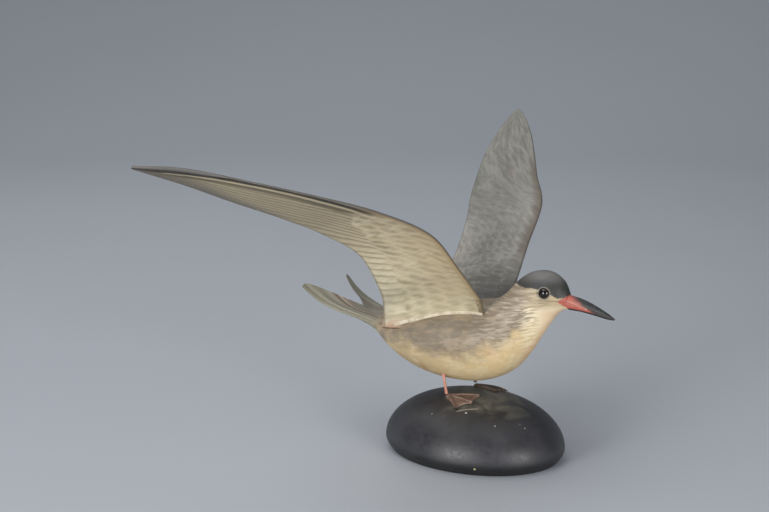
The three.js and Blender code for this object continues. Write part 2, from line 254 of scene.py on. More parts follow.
# The filler: which part of the joint it covers, how far it sags, and how it lies on body and wing
FILLER = {
    "start": 0.015, "end": 0.88, "points": 64, "sag": 1.7, "step": 0.012, "off_body": 0.35,
    "off_wing": 0.1,
}

# The filler's strip: its points along and round it, its lumps, and how it thins out at both ends, as
# two shares of its way and its width at each
STRIP = {
    "along": 260, "around": 20, "lumps": 0.22, "rough": 1.6, "least": 0.15,
    "front": (0.0, 0.35, 0.35, 1.15), "rear": (0.65, 1.0, 1.0, 0.12),
}

# A wing's width and length as its paint's strokes are laid out on it
WING_SIZE = {"width": 100.0, "length": 348.0}

# The base's worn patch: its middle, its reach each way and how ragged it is
WORN = {"x": 8.0, "y": 2.0, "long": 50.0, "wide": 42.0, "ragged": 1.6}

# How far the body's brush strokes rise towards the head in degrees, and the line of the wings' roots
STROKE_TILT = 9
WING_ROOT_LINE = {"slope": 0.396, "height": 142.3}

# How finely each form is divided along it and round it
BODY_FINENESS = {"rings": 230, "tail": 64, "around": 144}
BILL_FINENESS = {"rings": 90, "around": 72}
EYE_FINENESS = {"u_segments": 48, "v_segments": 32}
WING_FINENESS = {"rings": 440, "across": 100, "even": 0.65}
FOOT_FINENESS = {"rings": 34, "around": 180, "toe": 45, "toe_turn": 7}
LEG_FINENESS = {"rings": 70, "around": 36}

# The angles, in degrees, past which an edge of body or wing stays sharp
SHARP_BODY = 50
SHARP_WING = 60

# The photograph's camera, in millimetres and degrees, and its focal length in pixels
CAMERA = {
    "target": (-75.7, -38.9, 183.7), "distance": 1193.2, "turn": 33, "tilt": 11,
    "focal": 1300, "width": 769, "sensor": 36,
}

# The soft lights: place, target and size in metres, whose power each one takes, its share and its
# spread in degrees
LIGHTS = {
    "light_left": ((-0.3, -1.9, 0.36), (-0.02, 0, 0.12), (0.75, 0.56), "key", 1, 120),
    "light_right": ((1.7, -0.8, 0.36), (-0.02, 0, 0.12), (0.75, 0.56), "key", 0.75, 120),
    "light_top": ((-0.85, -0.5, 2.4), (-0.1, 0, 0.1), (2.4, 2.0), "fill", 1.08, 180),
    "light_back": ((-1.4, 2.1, 1.8), (-1.45, 2.2, 0), (1.6, 1.6), "fill", 0.27, 180),
    "light_side": ((-1.3, 0.2, 1.8), (-1.35, 0.2, 0), (1.6, 1.6), "fill", 0.18, 180),
}
ROOM_TONE = (222, 224, 228)

# The floor: how far it lies flat and the radius of its bend in metres, how high its wall goes as a
# share of the bend, and how finely it is divided
FLOOR = {"flat": 2.4, "bend": 3.0, "wall": 1.5, "bend_steps": 32, "sides": 96}


# Colours are written as a painter reads them off a chart, from 0 to 255, and used as light
def paint(red, green, blue):
    return tuple(((c / 255 + 0.055) / 1.055) ** 2.4 for c in (red, green, blue)) + (1.0,)


def smooth_line(points):
    """A smooth line through the points, as a function of shares from 0 to 1"""
    knots = np.array(points, float)
    padded = np.vstack([2 * knots[0] - knots[1], knots, 2 * knots[-1] - knots[-2]])
    steps = np.sum(np.diff(padded, axis=0) ** 2, axis=1) ** 0.25

    def at(shares):
        place = np.clip(np.asarray(shares, float), 0, 1) * (len(knots) - 1)
        span = np.minimum(place.astype(int), len(knots) - 2)
        t = (place - span)[..., None]
        p0, p1, p2, p3 = (padded[span + i] for i in range(4))
        d0, d1, d2 = (steps[span + i][..., None] for i in range(3))
        leave = ((p1 - p0) / d0 - (p2 - p0) / (d0 + d1) + (p2 - p1) / d1) * d1
        arrive = ((p2 - p1) / d1 - (p3 - p1) / (d1 + d2) + (p3 - p2) / d2) * d1
        bend = 3 * (p2 - p1) - 2 * leave - arrive
        return p1 + leave * t + bend * t**2 + (2 * (p1 - p2) + leave + arrive) * t**3

    return at


def smooth_values(values):
    """A smooth run of values spread evenly over shares from 0 to 1"""
    line = smooth_line(list(enumerate(values)))
    return lambda shares: line(shares)[..., 1]


def early_bump(share):
    """A bump over 0 to 1 that is 1 high at a third of the way"""
    return 27 / 4 * share * (1 - share) ** 2


def even_bump(share):
    """A bump over 0 to 1 that is 1 high half way"""
    return 4 * share * (1 - share)


def blunt_bump(share):
    """A bump over 0 to 1 with a blunt start that is a half high at a third of the way"""
    return math.sqrt(27) / 4 * np.sqrt(share) * (1 - share)


def smooth_step(value, low, high):
    t = np.clip((value - low) / (high - low), 0, 1)
    return t * t * (3 - 2 * t)


def unit(vectors):
    return vectors / np.maximum(np.linalg.norm(vectors, axis=-1, keepdims=True), 1e-9)


def grid_normals(grid):
    """Outward directions of a grid of rings that run from the tail to the head or from root to tip"""
    along = np.gradient(grid, axis=0)
    around = np.roll(grid, -1, axis=1) - np.roll(grid, 1, axis=1)
    return unit(np.cross(along, around))


def ring_faces(rows, columns):
    """Quads between closed rings, as vertex numbers"""
    row, column = np.meshgrid(np.arange(rows - 1) * columns, np.arange(columns), indexing="ij")
    after = (column + 1) % columns
    corners = [row + column, row + after, row + columns + after, row + columns + column]
    return np.stack(corners, -1).reshape(-1, 4).tolist()


def fan_faces(first, count, middle, outwards):
    """Triangles between a ring that starts at a vertex number and its middle"""
    pairs = [(first + j, first + (j + 1) % count) for j in range(count)]
    return [[a, b, middle] if outwards else [b, a, middle] for a, b in pairs]


def closed_rings(rings, start=None, end=None):
    """Points and faces of a row of rings that is closed at both ends round a middle point"""
    rows, columns = rings.shape[:2]
    start = rings[0].mean(axis=0) if start is None else start
    end = rings[-1].mean(axis=0) if end is None else end
    points = np.vstack([rings.reshape(-1, 3), start, end])
    faces = ring_faces(rows, columns) + fan_faces(0, columns, rows * columns, False)
    return points, faces + fan_faces((rows - 1) * columns, columns, rows * columns + 1, True)


def placed(name, data):
    """A new object in the scene"""
    thing = bpy.data.objects.new(name, data)
    bpy.context.scene.collection.objects.link(thing)
    return thing


def new_piece(name, points, faces, materials, maps=None, slots=None):
    """A mesh from points in millimetres, with a UV map for each entry of maps, one value a corner"""
    mesh = bpy.data.meshes.new(name)
    mesh.from_pydata((np.asarray(points) * MM).tolist(), [], [list(f) for f in faces])
    for material in materials:
        mesh.materials.append(material)
    for title, corners in (maps or {}).items():
        layer = mesh.uv_layers.new(name=title)
        layer.data.foreach_set("uv", np.asarray(corners, np.float32).ravel())
    if slots is not None:
        mesh.polygons.foreach_set("material_index", np.asarray(slots, np.int32))
    mesh.polygons.foreach_set("use_smooth", np.ones(len(mesh.polygons), bool))
    mesh.validate()
    mesh.update()
    return placed(name, mesh)


def plain_mesh(piece):
    """Turns the piece's modifiers into its own plain mesh"""
    graph = bpy.context.evaluated_depsgraph_get()
    graph.update()
    old = piece.data
    piece.data = bpy.data.meshes.new_from_object(piece.evaluated_get(graph), depsgraph=graph)
    piece.modifiers.clear()
    piece.data.name = piece.name
    bpy.data.meshes.remove(old)


def combine(piece, other, operation):
    """Joins another closed piece to this one, or cuts it out, and deletes it"""
    cut = piece.modifiers.new(operation.title(), "BOOLEAN")
    cut.operation = operation
    cut.solver = "EXACT"
    cut.object = other
    plain_mesh(piece)
    bpy.data.objects.remove(other)


def dress(piece, slot, *nodes):
    """Hides the packed solids that a finished piece takes the place of and hangs the piece under the root;
    slot is not used
    """
    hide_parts(*nodes)
    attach(piece, "root")


class Signal:
    """A value in a node tree that plain arithmetic can be done with"""

    def __init__(self, mixer, socket):
        self.mixer = mixer
        self.socket = socket

    def __add__(self, other):
        return self.mixer.apply("ADD", self, other)

    def __sub__(self, other):
        return self.mixer.apply("SUBTRACT", self, other)

    def __rsub__(self, other):
        return self.mixer.apply("SUBTRACT", other, self)

    def __mul__(self, other):
        return self.mixer.apply("MULTIPLY", self, other)

    def __truediv__(self, other):
        return self.mixer.apply("DIVIDE", self, other)

    def __abs__(self):
        return self.mixer.apply("ABSOLUTE", self)


class Mixer:
    """Short words for laying out one shader or geometry tree"""

    def __init__(self, tree):
        self.tree = tree

    def add(self, kind, inputs=None, **settings):
        node = self.tree.nodes.new(kind)
        for name, value in settings.items():
            setattr(node, name, value)
        for name, value in (inputs or {}).items():
            self.feed(node.inputs[name], value)
        return node

    def out(self, name, kind, inputs=None, **settings):
        """A new node's named output"""
        return Signal(self, self.add(kind, inputs, **settings).outputs[name])

    def outs(self, node):
        """A node's outputs by their names"""
        return {socket.name: Signal(self, socket) for socket in node.outputs}

    def feed(self, socket, value):
        if isinstance(value, Signal):
            self.tree.links.new(value.socket, socket)
        else:
            socket.default_value = value

    def apply(self, operation, *values):
        """Arithmetic on numbers, or on vectors where there is one among the values"""
        kinds = [v.socket.type if isinstance(v, Signal) else type(v).__name__ for v in values]
        vector = all(kind in ("VECTOR", "tuple") for kind in kinds)
        node = self.add("ShaderNodeVectorMath" if vector else "ShaderNodeMath", operation=operation)
        for socket, value in zip(node.inputs, values):
            self.feed(socket, value)
        return Signal(self, node.outputs[0])

    def step(self, value, low, high, start=0.0, end=1.0):
        """Goes smoothly from start to end as the value goes from low to high"""
        node = self.add("ShaderNodeMapRange", interpolation_type="SMOOTHSTEP")
        for socket, number in zip(node.inputs, (value, low, high, start, end)):
            self.feed(socket, number)
        return Signal(self, node.outputs[0])

    def band(self, value, rise_start, rise_end, fall_start, fall_end):
        """1 over a stretch of the value's way, fading smoothly to 0 at both of its ends"""
        return self.step(value, rise_start, rise_end) * self.step(value, fall_start, fall_end)

    def blend(self, share, under, over):
        node = self.add("ShaderNodeMix", data_type="RGBA")
        self.feed(node.inputs[0], share)
        self.feed(node.inputs[6], under)
        self.feed(node.inputs[7], over)
        return Signal(self, node.outputs[2])

    def noise(self, vector, scale, detail=2.0, distortion=0.0):
        inputs = {"Vector": vector, "Scale": scale, "Detail": detail, "Distortion": distortion}
        return self.out("Fac", "ShaderNodeTexNoise", inputs)

    def spread(self, vector, scale, detail=2.0, distortion=0.0):
        """Noise stretched to use the whole range from 0 to 1"""
        return self.step(self.noise(vector, scale, detail, distortion), 0.3, 0.7)

    def distance(self, place, other):
        return self.out("Value", "ShaderNodeVectorMath", {0: place, 1: other}, operation="DISTANCE")

    def stored(self, title):
        """The direction kept on each point under a title"""
        return self.out(0, "GeometryNodeInputNamedAttribute", {"Name": title}, data_type="FLOAT_VECTOR")

    def length(self, x, y):
        return self.apply("SQRT", x * x + y * y)

    def split(self, vector):
        node = self.add("ShaderNodeSeparateXYZ", {"Vector": vector})
        return [Signal(self, socket) for socket in node.outputs]

    def join(self, x=0.0, y=0.0, z=0.0):
        return self.out(0, "ShaderNodeCombineXYZ", {"X": x, "Y": y, "Z": z})

    def curve(self, value, points):
        """A drawn curve through (value, result) points"""
        values, results = [p[0] for p in points], [p[1] for p in points]
        low, high = min(results), max(results)
        across = self.step_line(value, values[0], values[-1], 0, 1)
        node = self.add("ShaderNodeFloatCurve", {"Value": across})
        line = node.mapping.curves[0]
        while len(line.points) < len(points):
            line.points.new(0.5, 0.5)
        for place, (x, y) in zip(line.points, points):
            place.location = ((x - values[0]) / (values[-1] - values[0]), (y - low) / (high - low))
        node.mapping.update()
        return self.step_line(Signal(self, node.outputs[0]), 0, 1, low, high)

    def step_line(self, value, low, high, start, end):
        """Goes evenly from start to end as the value goes from low to high"""
        node = self.add("ShaderNodeMapRange")
        for socket, number in zip(node.inputs, (value, low, high, start, end)):
            self.feed(socket, number)
        return Signal(self, node.outputs[0])


def add_sockets(tree, direction, sockets):
    """A tree's named inputs or outputs, each with its kind and, where it has one, its default"""
    for title, kind, *value in sockets:
        socket = tree.interface.new_socket(title, in_out=direction, socket_type=f"NodeSocket{kind}")
        if value:
            socket.default_value = value[0]


def shader_group(name, inputs, outputs, build):
    """A shader node group with named inputs and outputs, built once"""
    if name in bpy.data.node_groups:
        return bpy.data.node_groups[name]
    tree = bpy.data.node_groups.new(name, "ShaderNodeTree")
    add_sockets(tree, "INPUT", inputs)
    add_sockets(tree, "OUTPUT", outputs)
    mixer = Mixer(tree)
    results = build(mixer, mixer.outs(mixer.add("NodeGroupInput")))
    mixer.add("NodeGroupOutput", results)
    return tree


def brush_group():
    """Fine strokes of a dry brush, drawn out along the first axis of their place"""

    def build(mixer, given):
        scale = mixer.join(given["Along"], given["Across"], given["Across"])
        laid = given["Place"] * scale
        fine = mixer.noise(laid, 1.0, 4.0, 0.4)
        broad = mixer.noise(laid * (0.35, 0.35, 0.35), 1.0, 2.0, 0.8)
        tone = mixer.step(fine * 0.6 + broad * 0.4, 0.36, 0.64)
        return {"Tone": tone, "Height": fine}

    inputs = [("Place", "Vector"), ("Along", "Float", 0.1), ("Across", "Float", 1.0)]
    return shader_group("Brush Strokes", inputs, [("Tone", "Float"), ("Height", "Float")], build)


def grime_group():
    """Old dirt and fading: soft stains, fine dust and a few small chips"""

    def build(mixer, given):
        stain = mixer.spread(given["Place"], 0.035, 4.0, 0.6)
        speck = mixer.step(mixer.noise(given["Place"], 0.9, 3.0), 0.56, 0.74)
        dirty = (stain * 0.6 + speck * 0.4) * given["Amount"]
        color = mixer.blend(dirty, given["Color"], given["Dirt"])
        inputs = {"Vector": given["Place"], "Scale": given["Chip Scale"]}
        cells = mixer.outs(mixer.add("ShaderNodeTexVoronoi", inputs))
        chance = mixer.split(cells["Color"])[0]
        chosen = mixer.apply("LESS_THAN", chance, given["Chips"])
        chip = chosen * mixer.step(cells["Distance"], 0.16, 0.09)
        return {"Color": mixer.blend(chip, color, given["Chip Color"]), "Chip": chip}

    inputs = [
        ("Place", "Vector"), ("Color", "Color"), ("Dirt", "Color"), ("Amount", "Float", 0.3),
        ("Chips", "Float", 0.02), ("Chip Scale", "Float", 0.12), ("Chip Color", "Color"),
    ]
    return shader_group("Old Paint", inputs, [("Color", "Color"), ("Chip", "Float")], build)


class Paint(Mixer):
    """A material being mixed: its place in millimetres, the shared groups and the finished coat"""

    def __init__(self, name):
        self.material = bpy.data.materials.new(name)
        self.material.use_nodes = True
        super().__init__(self.material.node_tree)
        self.tree.nodes.clear()
        self.place = self.out("Object", "ShaderNodeTexCoord") * (1 / MM, 1 / MM, 1 / MM)
        self.color = None

    def laid_out(self, title):
        """A UV map's two values"""
        return self.split(self.out(0, "ShaderNodeUVMap", uv_map=title))

    def group(self, tree, **given):
        """A shared group's outputs, with its inputs given by name"""
        inputs = {name.replace("_", " ").title(): value for name, value in given.items()}
        return self.outs(self.add("ShaderNodeGroup", inputs, node_tree=tree))

    def brushed(self, place, along, across):
        laid = self.group(brush_group(), place=place, along=along, across=across)
        return laid["Tone"], laid["Height"]

    def over(self, share, tone):
        """Lays a tone over the colour painted so far, as strongly as the share says"""
        self.color = self.blend(share, self.color, tone)

    def aged(self, dirt, amount, chips, chip_scale, chip_color):
        """Lays dirt and chips over the colour, and tells where the chips are"""
        old = self.group(grime_group(), place=self.place, color=self.color, dirt=dirt, amount=amount,
                         chips=chips, chip_scale=chip_scale, chip_color=chip_color)
        self.color = old["Color"]
        return old["Chip"]

    def coat(self, roughness, height, depth, coat=0.0):
        """Finishes the material: the colour, its sheen and a fine relief of a depth in millimetres"""
        inputs = {"Height": height, "Strength": BUMP_STRENGTH, "Distance": depth * MM}
        bump = self.out(0, "ShaderNodeBump", inputs)
        inputs = {"Base Color": self.color, "Roughness": roughness, "Coat Weight": coat, "Normal": bump}
        shader = self.out(0, "ShaderNodeBsdfPrincipled", inputs)
        self.add("ShaderNodeOutputMaterial", {"Surface": shader})
        return self.material


# The forms

def rib_rings(ribs, stations, sides):
    """Rounded rings through ribs that stand on the bird's own plane"""
    shares = np.linspace(0, 1, stations)
    top = smooth_line([(rib[0][0], 0, rib[0][1]) for rib in ribs])(shares)
    low = smooth_line([(rib[1][0], 0, rib[1][1]) for rib in ribs])(shares)
    half = smooth_values([rib[2] for rib in ribs])(shares)[:, None]
    waist = smooth_values([rib[3] for rib in ribs])(shares)[:, None]
    turn = np.linspace(0, 2 * np.pi, sides, endpoint=False)[None, :]
    tall = np.linalg.norm(top - low, axis=1, keepdims=True)
    upright = unit(top - low)
    reach = tall * np.where(np.cos(turn) > 0, 1 - waist, waist) * np.cos(turn)
    rings = (low + upright * tall * waist)[:, None, :] + upright[:, None, :] * reach[..., None]
    rings[..., 1] = half * np.sin(turn)
    return rings


def tail_rings(root, stations):
    """Rings from the forked rear edge to the body's last rib"""
    sides = len(root)
    turn = np.linspace(0, 2 * np.pi, sides, endpoint=False)
    across = np.sin(turn)
    below = (sides // 2 - np.arange(sides)) % sides
    face = np.where(below == np.arange(sides), 0, np.sign(np.cos(turn)))
    edge = smooth_line(TAIL_EDGE)(np.abs(np.arcsin(across)) / (np.pi / 2))
    edge[:, 1] *= np.sign(across)
    centre = (root + root[below]) / 2
    rings = []
    for share in np.linspace(1, 0, stations, endpoint=False):
        middle = centre + (edge - centre) * share
        middle[:, 1] += TAIL["bulge"] * across * even_bump(share)
        dip = TAIL["dip"] * np.abs(across) * early_bump(1 - share)
        middle[:, 2] -= dip + TAIL["lean"] * share * middle[:, 1]
        thick = TAIL["edge"] * share + TAIL["fullness"] * even_bump(share)
        ring = middle + (root - centre) * (1 - share) ** TAIL["fading"]
        ring[:, 2] += face * thick / 2
        rings.append(ring)
    return np.array(rings)


def feather_grooves(across, lines, width):
    """How deep the cuts between the tail's feathers are, from 0 to 1"""
    nearest = np.min(np.abs(np.abs(across)[..., None] - np.array(lines)), axis=-1)
    return np.exp(-((nearest / width) ** 2))


def line_bump(x, z, points, width):
    """A ridge from 0 to 1 that runs along a drawn line and fades at both of its ends"""
    xs, zs = np.array(points).T
    faded = smooth_step(x, xs[0] - 1, xs[0] + 2) * (1 - smooth_step(x, xs[-1] - 2, xs[-1] + 1))
    return np.exp(-(((z - np.interp(x, xs, zs)) / width) ** 2)) * faded


def close_thin_end(sides):
    """Faces between the upper and the lower points of a ring that lies on a thin edge"""
    faces = []
    for j in range(-(sides // 4), sides // 4):
        a, b = j % sides, (j + 1) % sides
        c, d = (sides // 2 - j - 1) % sides, (sides // 2 - j) % sides
        corners = [a, d, c, b]
        faces.append(list(dict.fromkeys(corners)))
    return faces


def turned_out(piece):
    """Turns every face of a closed piece outwards"""
    shape = bmesh.new()
    shape.from_mesh(piece.data)
    bmesh.ops.recalc_face_normals(shape, faces=shape.faces)
    shape.to_mesh(piece.data)
    shape.free()
    piece.data.update()


def corner_values(faces, *values):
    """Values of vertices, gathered for each corner of each face"""
    corners = np.concatenate([np.asarray(f, int).ravel() for f in faces])
    return np.stack([np.asarray(v)[corners] for v in values], -1)


def build_body(sizes, material):
    sides, tail_count = BODY_FINENESS["around"], BODY_FINENESS["tail"]
    ribs = rib_rings(BODY_RIBS, BODY_FINENESS["rings"], sides)
    tail = tail_rings(ribs[0], tail_count)
    grid = np.concatenate([tail, ribs])
    normals = grid_normals(grid)
    turn = np.linspace(0, 2 * np.pi, sides, endpoint=False)
    share = np.concatenate([np.linspace(1, 0, tail_count, endpoint=False), np.zeros(len(ribs))])
    height = np.zeros(grid.shape[:2])
    grooves = feather_grooves(np.sin(turn), TAIL_GROOVES, TAIL_CUT["width"])
    height -= sizes.tail_grooves / MM * smooth_step(share, *TAIL_CUT["fade"])[:, None] * grooves[None, :]
    beside = smooth_step(np.abs(grid[..., 1]), *EYELID["beside"])
    from_x, from_z = grid[..., 0] - EYE_CENTRE[0], grid[..., 2] - EYE_CENTRE[2]
    from_eye = np.hypot(from_x, from_z * EYELID["squeeze"])
    lid = np.exp(-(((from_eye - EYELID["reach"]) / EYELID["width"]) ** 2))
    height += sizes.eyelid / MM * lid * beside
    height -= EYELID["depth"] * (1 - smooth_step(from_eye, *EYELID["hollow"])) * beside
    gape = line_bump(grid[..., 0], grid[..., 2], GAPE, GAPE_CUT["width"])
    height -= GAPE_CUT["depth"] * gape * beside
    grid = grid + normals * height[..., None]
    rings, middle = len(grid), len(grid) * sides
    fan = fan_faces((rings - 1) * sides, sides, middle, True)
    faces = [*ring_faces(rings, sides), *close_thin_end(sides), *fan]
    points = np.vstack([grid.reshape(-1, 3), grid[-1].mean(axis=0)])
    steps = np.linalg.norm(np.diff(grid.mean(axis=1), axis=0), axis=1)
    along = np.concatenate([[0], np.cumsum(steps)])
    around = np.concatenate([np.tile(turn / (2 * np.pi), rings), [0]])
    run = np.concatenate([np.repeat(along, sides), [along[-1]]])
    maps = {"Lay": corner_values(faces, np.sin(around * 2 * np.pi), np.cos(around * 2 * np.pi)),
            "Run": corner_values(faces, run, run * 0)}
    piece = new_piece("body_carving", points, faces, [material], maps)
    turned_out(piece)
    combine(piece, build_bill(sizes, material), "UNION")
    for name, side in SIDES.items():
        socket = eye_ball(f"socket_{name}", side, EYE_RADIUS + SOCKET_GAP, None)
        combine(piece, socket, "DIFFERENCE")
    piece.data.set_sharp_from_angle(angle=math.radians(SHARP_BODY))
    dress(piece, "body_paint", "body")


def build_bill(sizes, material):
    sides = BILL_FINENESS["around"]
    grid = rib_rings(BILL_RIBS, BILL_FINENESS["rings"], sides)
    normals = grid_normals(grid)
    turn = np.linspace(0, 2 * np.pi, sides, endpoint=False)
    line = line_bump(grid[..., 0], grid[..., 2], BILL_LINE, BILL_CUT["width"])
    height = -sizes.bill_line / MM * line
    height *= smooth_step(np.abs(grid[..., 1]), *BILL_CUT["beside"])
    grid = grid + normals * height[..., None]
    points, faces = closed_rings(grid)
    around = np.concatenate([np.tile(turn, len(grid)), [0, 0]])
    along = BILL_RUN + np.concatenate([np.repeat(grid.mean(axis=1)[:, 0], sides), BILL_ENDS])
    maps = {"Lay": corner_values(faces, np.sin(around), np.cos(around)),
            "Run": corner_values(faces, along, along * 0)}
    piece = new_piece("bill", points, faces, [material], maps)
    turned_out(piece)
    return piece


def eye_ball(name, side, radius, material):
    """A ball with its pole where the eye looks out"""
    shape = bmesh.new()
    place = Matrix.Translation(Vector((EYE_CENTRE[0], side * EYE_CENTRE[1], EYE_CENTRE[2])) * MM)
    turned = place @ Matrix.Rotation(math.pi / 2, 4, "X")
    bmesh.ops.create_uvsphere(shape, radius=radius * MM, matrix=turned, **EYE_FINENESS)
    mesh = bpy.data.meshes.new(name)
    shape.to_mesh(mesh)
    shape.free()
    mesh.polygons.foreach_set("use_smooth", np.ones(len(mesh.polygons), bool))
    if material:
        mesh.materials.append(material)
    ball = placed(name, mesh)
    turned_out(ball)
    return ball


class Wing:
    """One wing's surface: a place for each share of its width and length, on either face"""

    def __init__(self, side):
        self.side = side
        self.leading = smooth_line(LEADING_EDGE)
        self.trailing = smooth_line(TRAILING_EDGE)
        self.thickness = smooth_values(WING_THICKNESS)
        self.arch = smooth_values(WING_ARCH)
        ends = (self.leading(1.0) + self.trailing(1.0) - self.leading(0.0) - self.trailing(0.0)) / 2
        self.length = np.linalg.norm(ends)

    def place(self, across, length, face, relief=0.0):
        """The point at a share of the width and of the length; below 0 it runs on into the body"""
        share = np.clip(length, 0, 1)
        on, off = np.minimum(1, share + WING_NUDGE), np.maximum(0, share - WING_NUDGE)
        along = unit(self.leading(on) + self.trailing(on) - self.leading(off) - self.trailing(off))
        front = self.leading(share) + along * (np.minimum(length, 0) * self.length)[..., None]
        chord = self.trailing(share) - self.leading(share)
        upper = unit(np.cross(along, chord))
        arch = early_bump(across) * self.arch(share) * np.linalg.norm(chord, axis=-1)
        half = self.thickness(share) * blunt_bump(across) + WING_EDGE / 2 + relief
        point = front + chord * across[..., None] + upper * (arch + face * half)[..., None]
        point[..., 1] *= self.side
        return point


def bead_height(across, length):
    """How far the outermost feather's bead stands off the underside, as a share of the thickness"""
    shares, depths = np.array(BEAD_DEPTHS).T
    along, rib = np.array(RIB_LINE).T
    across = across - np.interp(length, along, rib) + BEAD_MIDDLE
    risen = smooth_step(length, BEAD_RUN["start"], BEAD_RUN["full"])
    faded = 1 - smooth_step(length, BEAD_RUN["full"], BEAD_RUN["end"]) ** 4
    return np.interp(across, shares, depths, left=0, right=0) * risen * faded


def feather_number(across, length):
    """Which flight feather a place belongs to, counted from the body, as a number with a fraction"""
    numbers, root_across, root_along, tip_along = np.array(FEATHER_LINES).T
    low, high = np.zeros_like(across), np.full_like(across, numbers[-1])
    for _ in range(FEATHER_HALVINGS):
        middle = (low + high) / 2
        start = np.interp(middle, numbers, root_across)
        from_root = np.interp(middle, numbers, root_along)
        to_tip = np.interp(middle, numbers, tip_along)
        line = from_root + (to_tip - from_root) * (across - start) / (1 - start)
        inside = line > length
        low, high = np.where(inside, low, middle), np.where(inside, middle, high)
    return (low + high) / 2


def covert_border(length, border):
    """How far across the wing the small feathers reach at a share of its length"""
    along, across = np.array(border).T
    return np.interp(length, along, across)


def feather_step(number):
    """Each feather's own rise to the edge that lies over its neighbour, from -1 to 1"""
    part = number - np.floor(number)
    rising, falling = part / FEATHER_RISE, (1 - part) / (1 - FEATHER_RISE)
    return np.where(part < FEATHER_RISE, rising, falling) * 2 - 1


def root_starts(wing, across, face, skin):
    """Where along the wing each line of it leaves the body"""
    lengths = np.linspace(ROOT_SEARCH["start"], -ROOT_SEARCH["past"] / wing.length, ROOT_SEARCH["steps"])
    places = wing.place(*np.broadcast_arrays(across[None, :], lengths[:, None], face[None, :]))
    starts = []
    for column in range(len(across)):
        outside = lengths[0]
        start = -ROOT_REACH / wing.length
        clear = None
        for length, point in zip(lengths, places[:, column]):
            gap = skin(point) - ROOT_GAP
            if gap < 0:
                start = length if clear is None else length + (outside - length) * -gap / (clear - gap)
                break
            outside, clear = length, gap
        starts.append(start)
    return np.array(starts)


def body_skin():
    """A measure of how far a point in millimetres stands off the finished body, and the body's tree"""
    body = bpy.data.objects.get("body_carving")
    if body is None:
        raise RuntimeError("the body has to be carved before the wings are set against it")
    mesh = body.data
    points = [v.co.copy() for v in mesh.vertices]
    tree = BVHTree.FromPolygons(points, [tuple(p.vertices) for p in mesh.polygons])

    def distance(point):
        spot = Vector(point * MM)
        near, normal, _, _ = tree.find_nearest(spot)
        return (spot - near).dot(normal) / MM

    return distance, tree


def build_wing(name, side, sizes, materials):
    wing = Wing(side)
    skin, _ = body_skin()
    count, even = WING_FINENESS["across"], WING_FINENESS["even"]
    crowded = np.sin(np.linspace(0, np.pi / 2, count)) ** 2
    shares = crowded * (1 - even) + np.linspace(0, 1, count) * even
    across = np.concatenate([shares, shares[::-1]])
    face = np.concatenate([np.ones(count), -np.ones(count)])
    starts = root_starts(wing, across, face, skin)
    stations = np.linspace(0, 1, WING_FINENESS["rings"])[:, None]
    length = starts[None, :] + (1 - starts[None, :]) * stations
    u = np.broadcast_to(across[None, :], length.shape)
    over = np.broadcast_to(face[None, :], length.shape)
    inside = np.clip(length, 0, 1)
    number = feather_number(u, inside)
    under_cover = covert_border(inside, UNDER_COVERTS) - u
    upper_cover = covert_border(inside, UPPER_COVERTS) - u
    cover = np.where(over < 0, under_cover, upper_cover)
    flight = 1 - smooth_step(cover, *COVERT_FADE)
    edges = smooth_step(u, *RELIEF["front"]) * (1 - smooth_step(u, *RELIEF["rear"]))
    ends = smooth_step(inside, *RELIEF["root"]) * (1 - smooth_step(inside, *RELIEF["tip"]))
    cut = sizes.feather_relief / MM * feather_step(number) * flight * edges * ends
    cut += sizes.covert_step / MM * (1 - flight) * edges * ends
    bead = np.where(over < 0, bead_height(u, inside) * wing.thickness(inside), 0)
    grid = wing.place(u, length, over, bead + cut)
    rings, columns = grid.shape[:2]
    strips = [[j, columns - 1 - j, columns - 2 - j, j + 1] for j in range(count - 1)]
    last = (rings - 1) * columns
    strips += [[last + k for k in reversed(strip)] for strip in strips]
    faces = [*ring_faces(rings, columns), *strips]
    maps = {"Lay": corner_values(faces, u.ravel(), length.ravel()),
            "Feathers": corner_values(faces, number.ravel(), cover.ravel())}
    below = over.ravel() < 0
    slots = np.array([0 if below[f[0]] and below[f[1]] else 1 for f in faces])
    piece = new_piece(name, grid.reshape(-1, 3), faces, materials, maps, slots)
    turned_out(piece)
    piece.data.set_sharp_from_angle(angle=math.radians(SHARP_WING))
    dress(piece, "wing_paint", name.replace("_carving", ""))


def geometry_tree(name, sizes, build):
    """A geometry tree with its sizes as inputs that ends in one real mesh with its paint on"""
    tree = bpy.data.node_groups.new(name, "GeometryNodeTree")
    inputs = [("Geometry", "Geometry"), *((title, "Float", 0.0) for title in sizes), ("Paint", "Material")]
    add_sockets(tree, "INPUT", inputs)
    add_sockets(tree, "OUTPUT", [("Geometry", "Geometry")])
    mixer = Mixer(tree)
    given = mixer.outs(mixer.add("NodeGroupInput"))
    shape = mixer.out(0, "GeometryNodeSetShadeSmooth", {"Geometry": build(mixer, given)})
    real = mixer.out(0, "GeometryNodeRealizeInstances", {"Geometry": shape})
    painted = mixer.out(0, "GeometryNodeSetMaterial", {"Geometry": real, "Material": given["Paint"]})
    mixer.add("NodeGroupOutput", {"Geometry": painted})
    return tree


def grow(piece, tree, values):
    """Runs a geometry tree on the piece and keeps the plain mesh it makes"""
    modifier = piece.modifiers.new(tree.name, "NODES")
    modifier.node_group = tree
    for item in tree.interface.items_tree:
        if item.in_out == "INPUT" and item.name in values:
            modifier[item.identifier] = values[item.name]
    plain_mesh(piece)


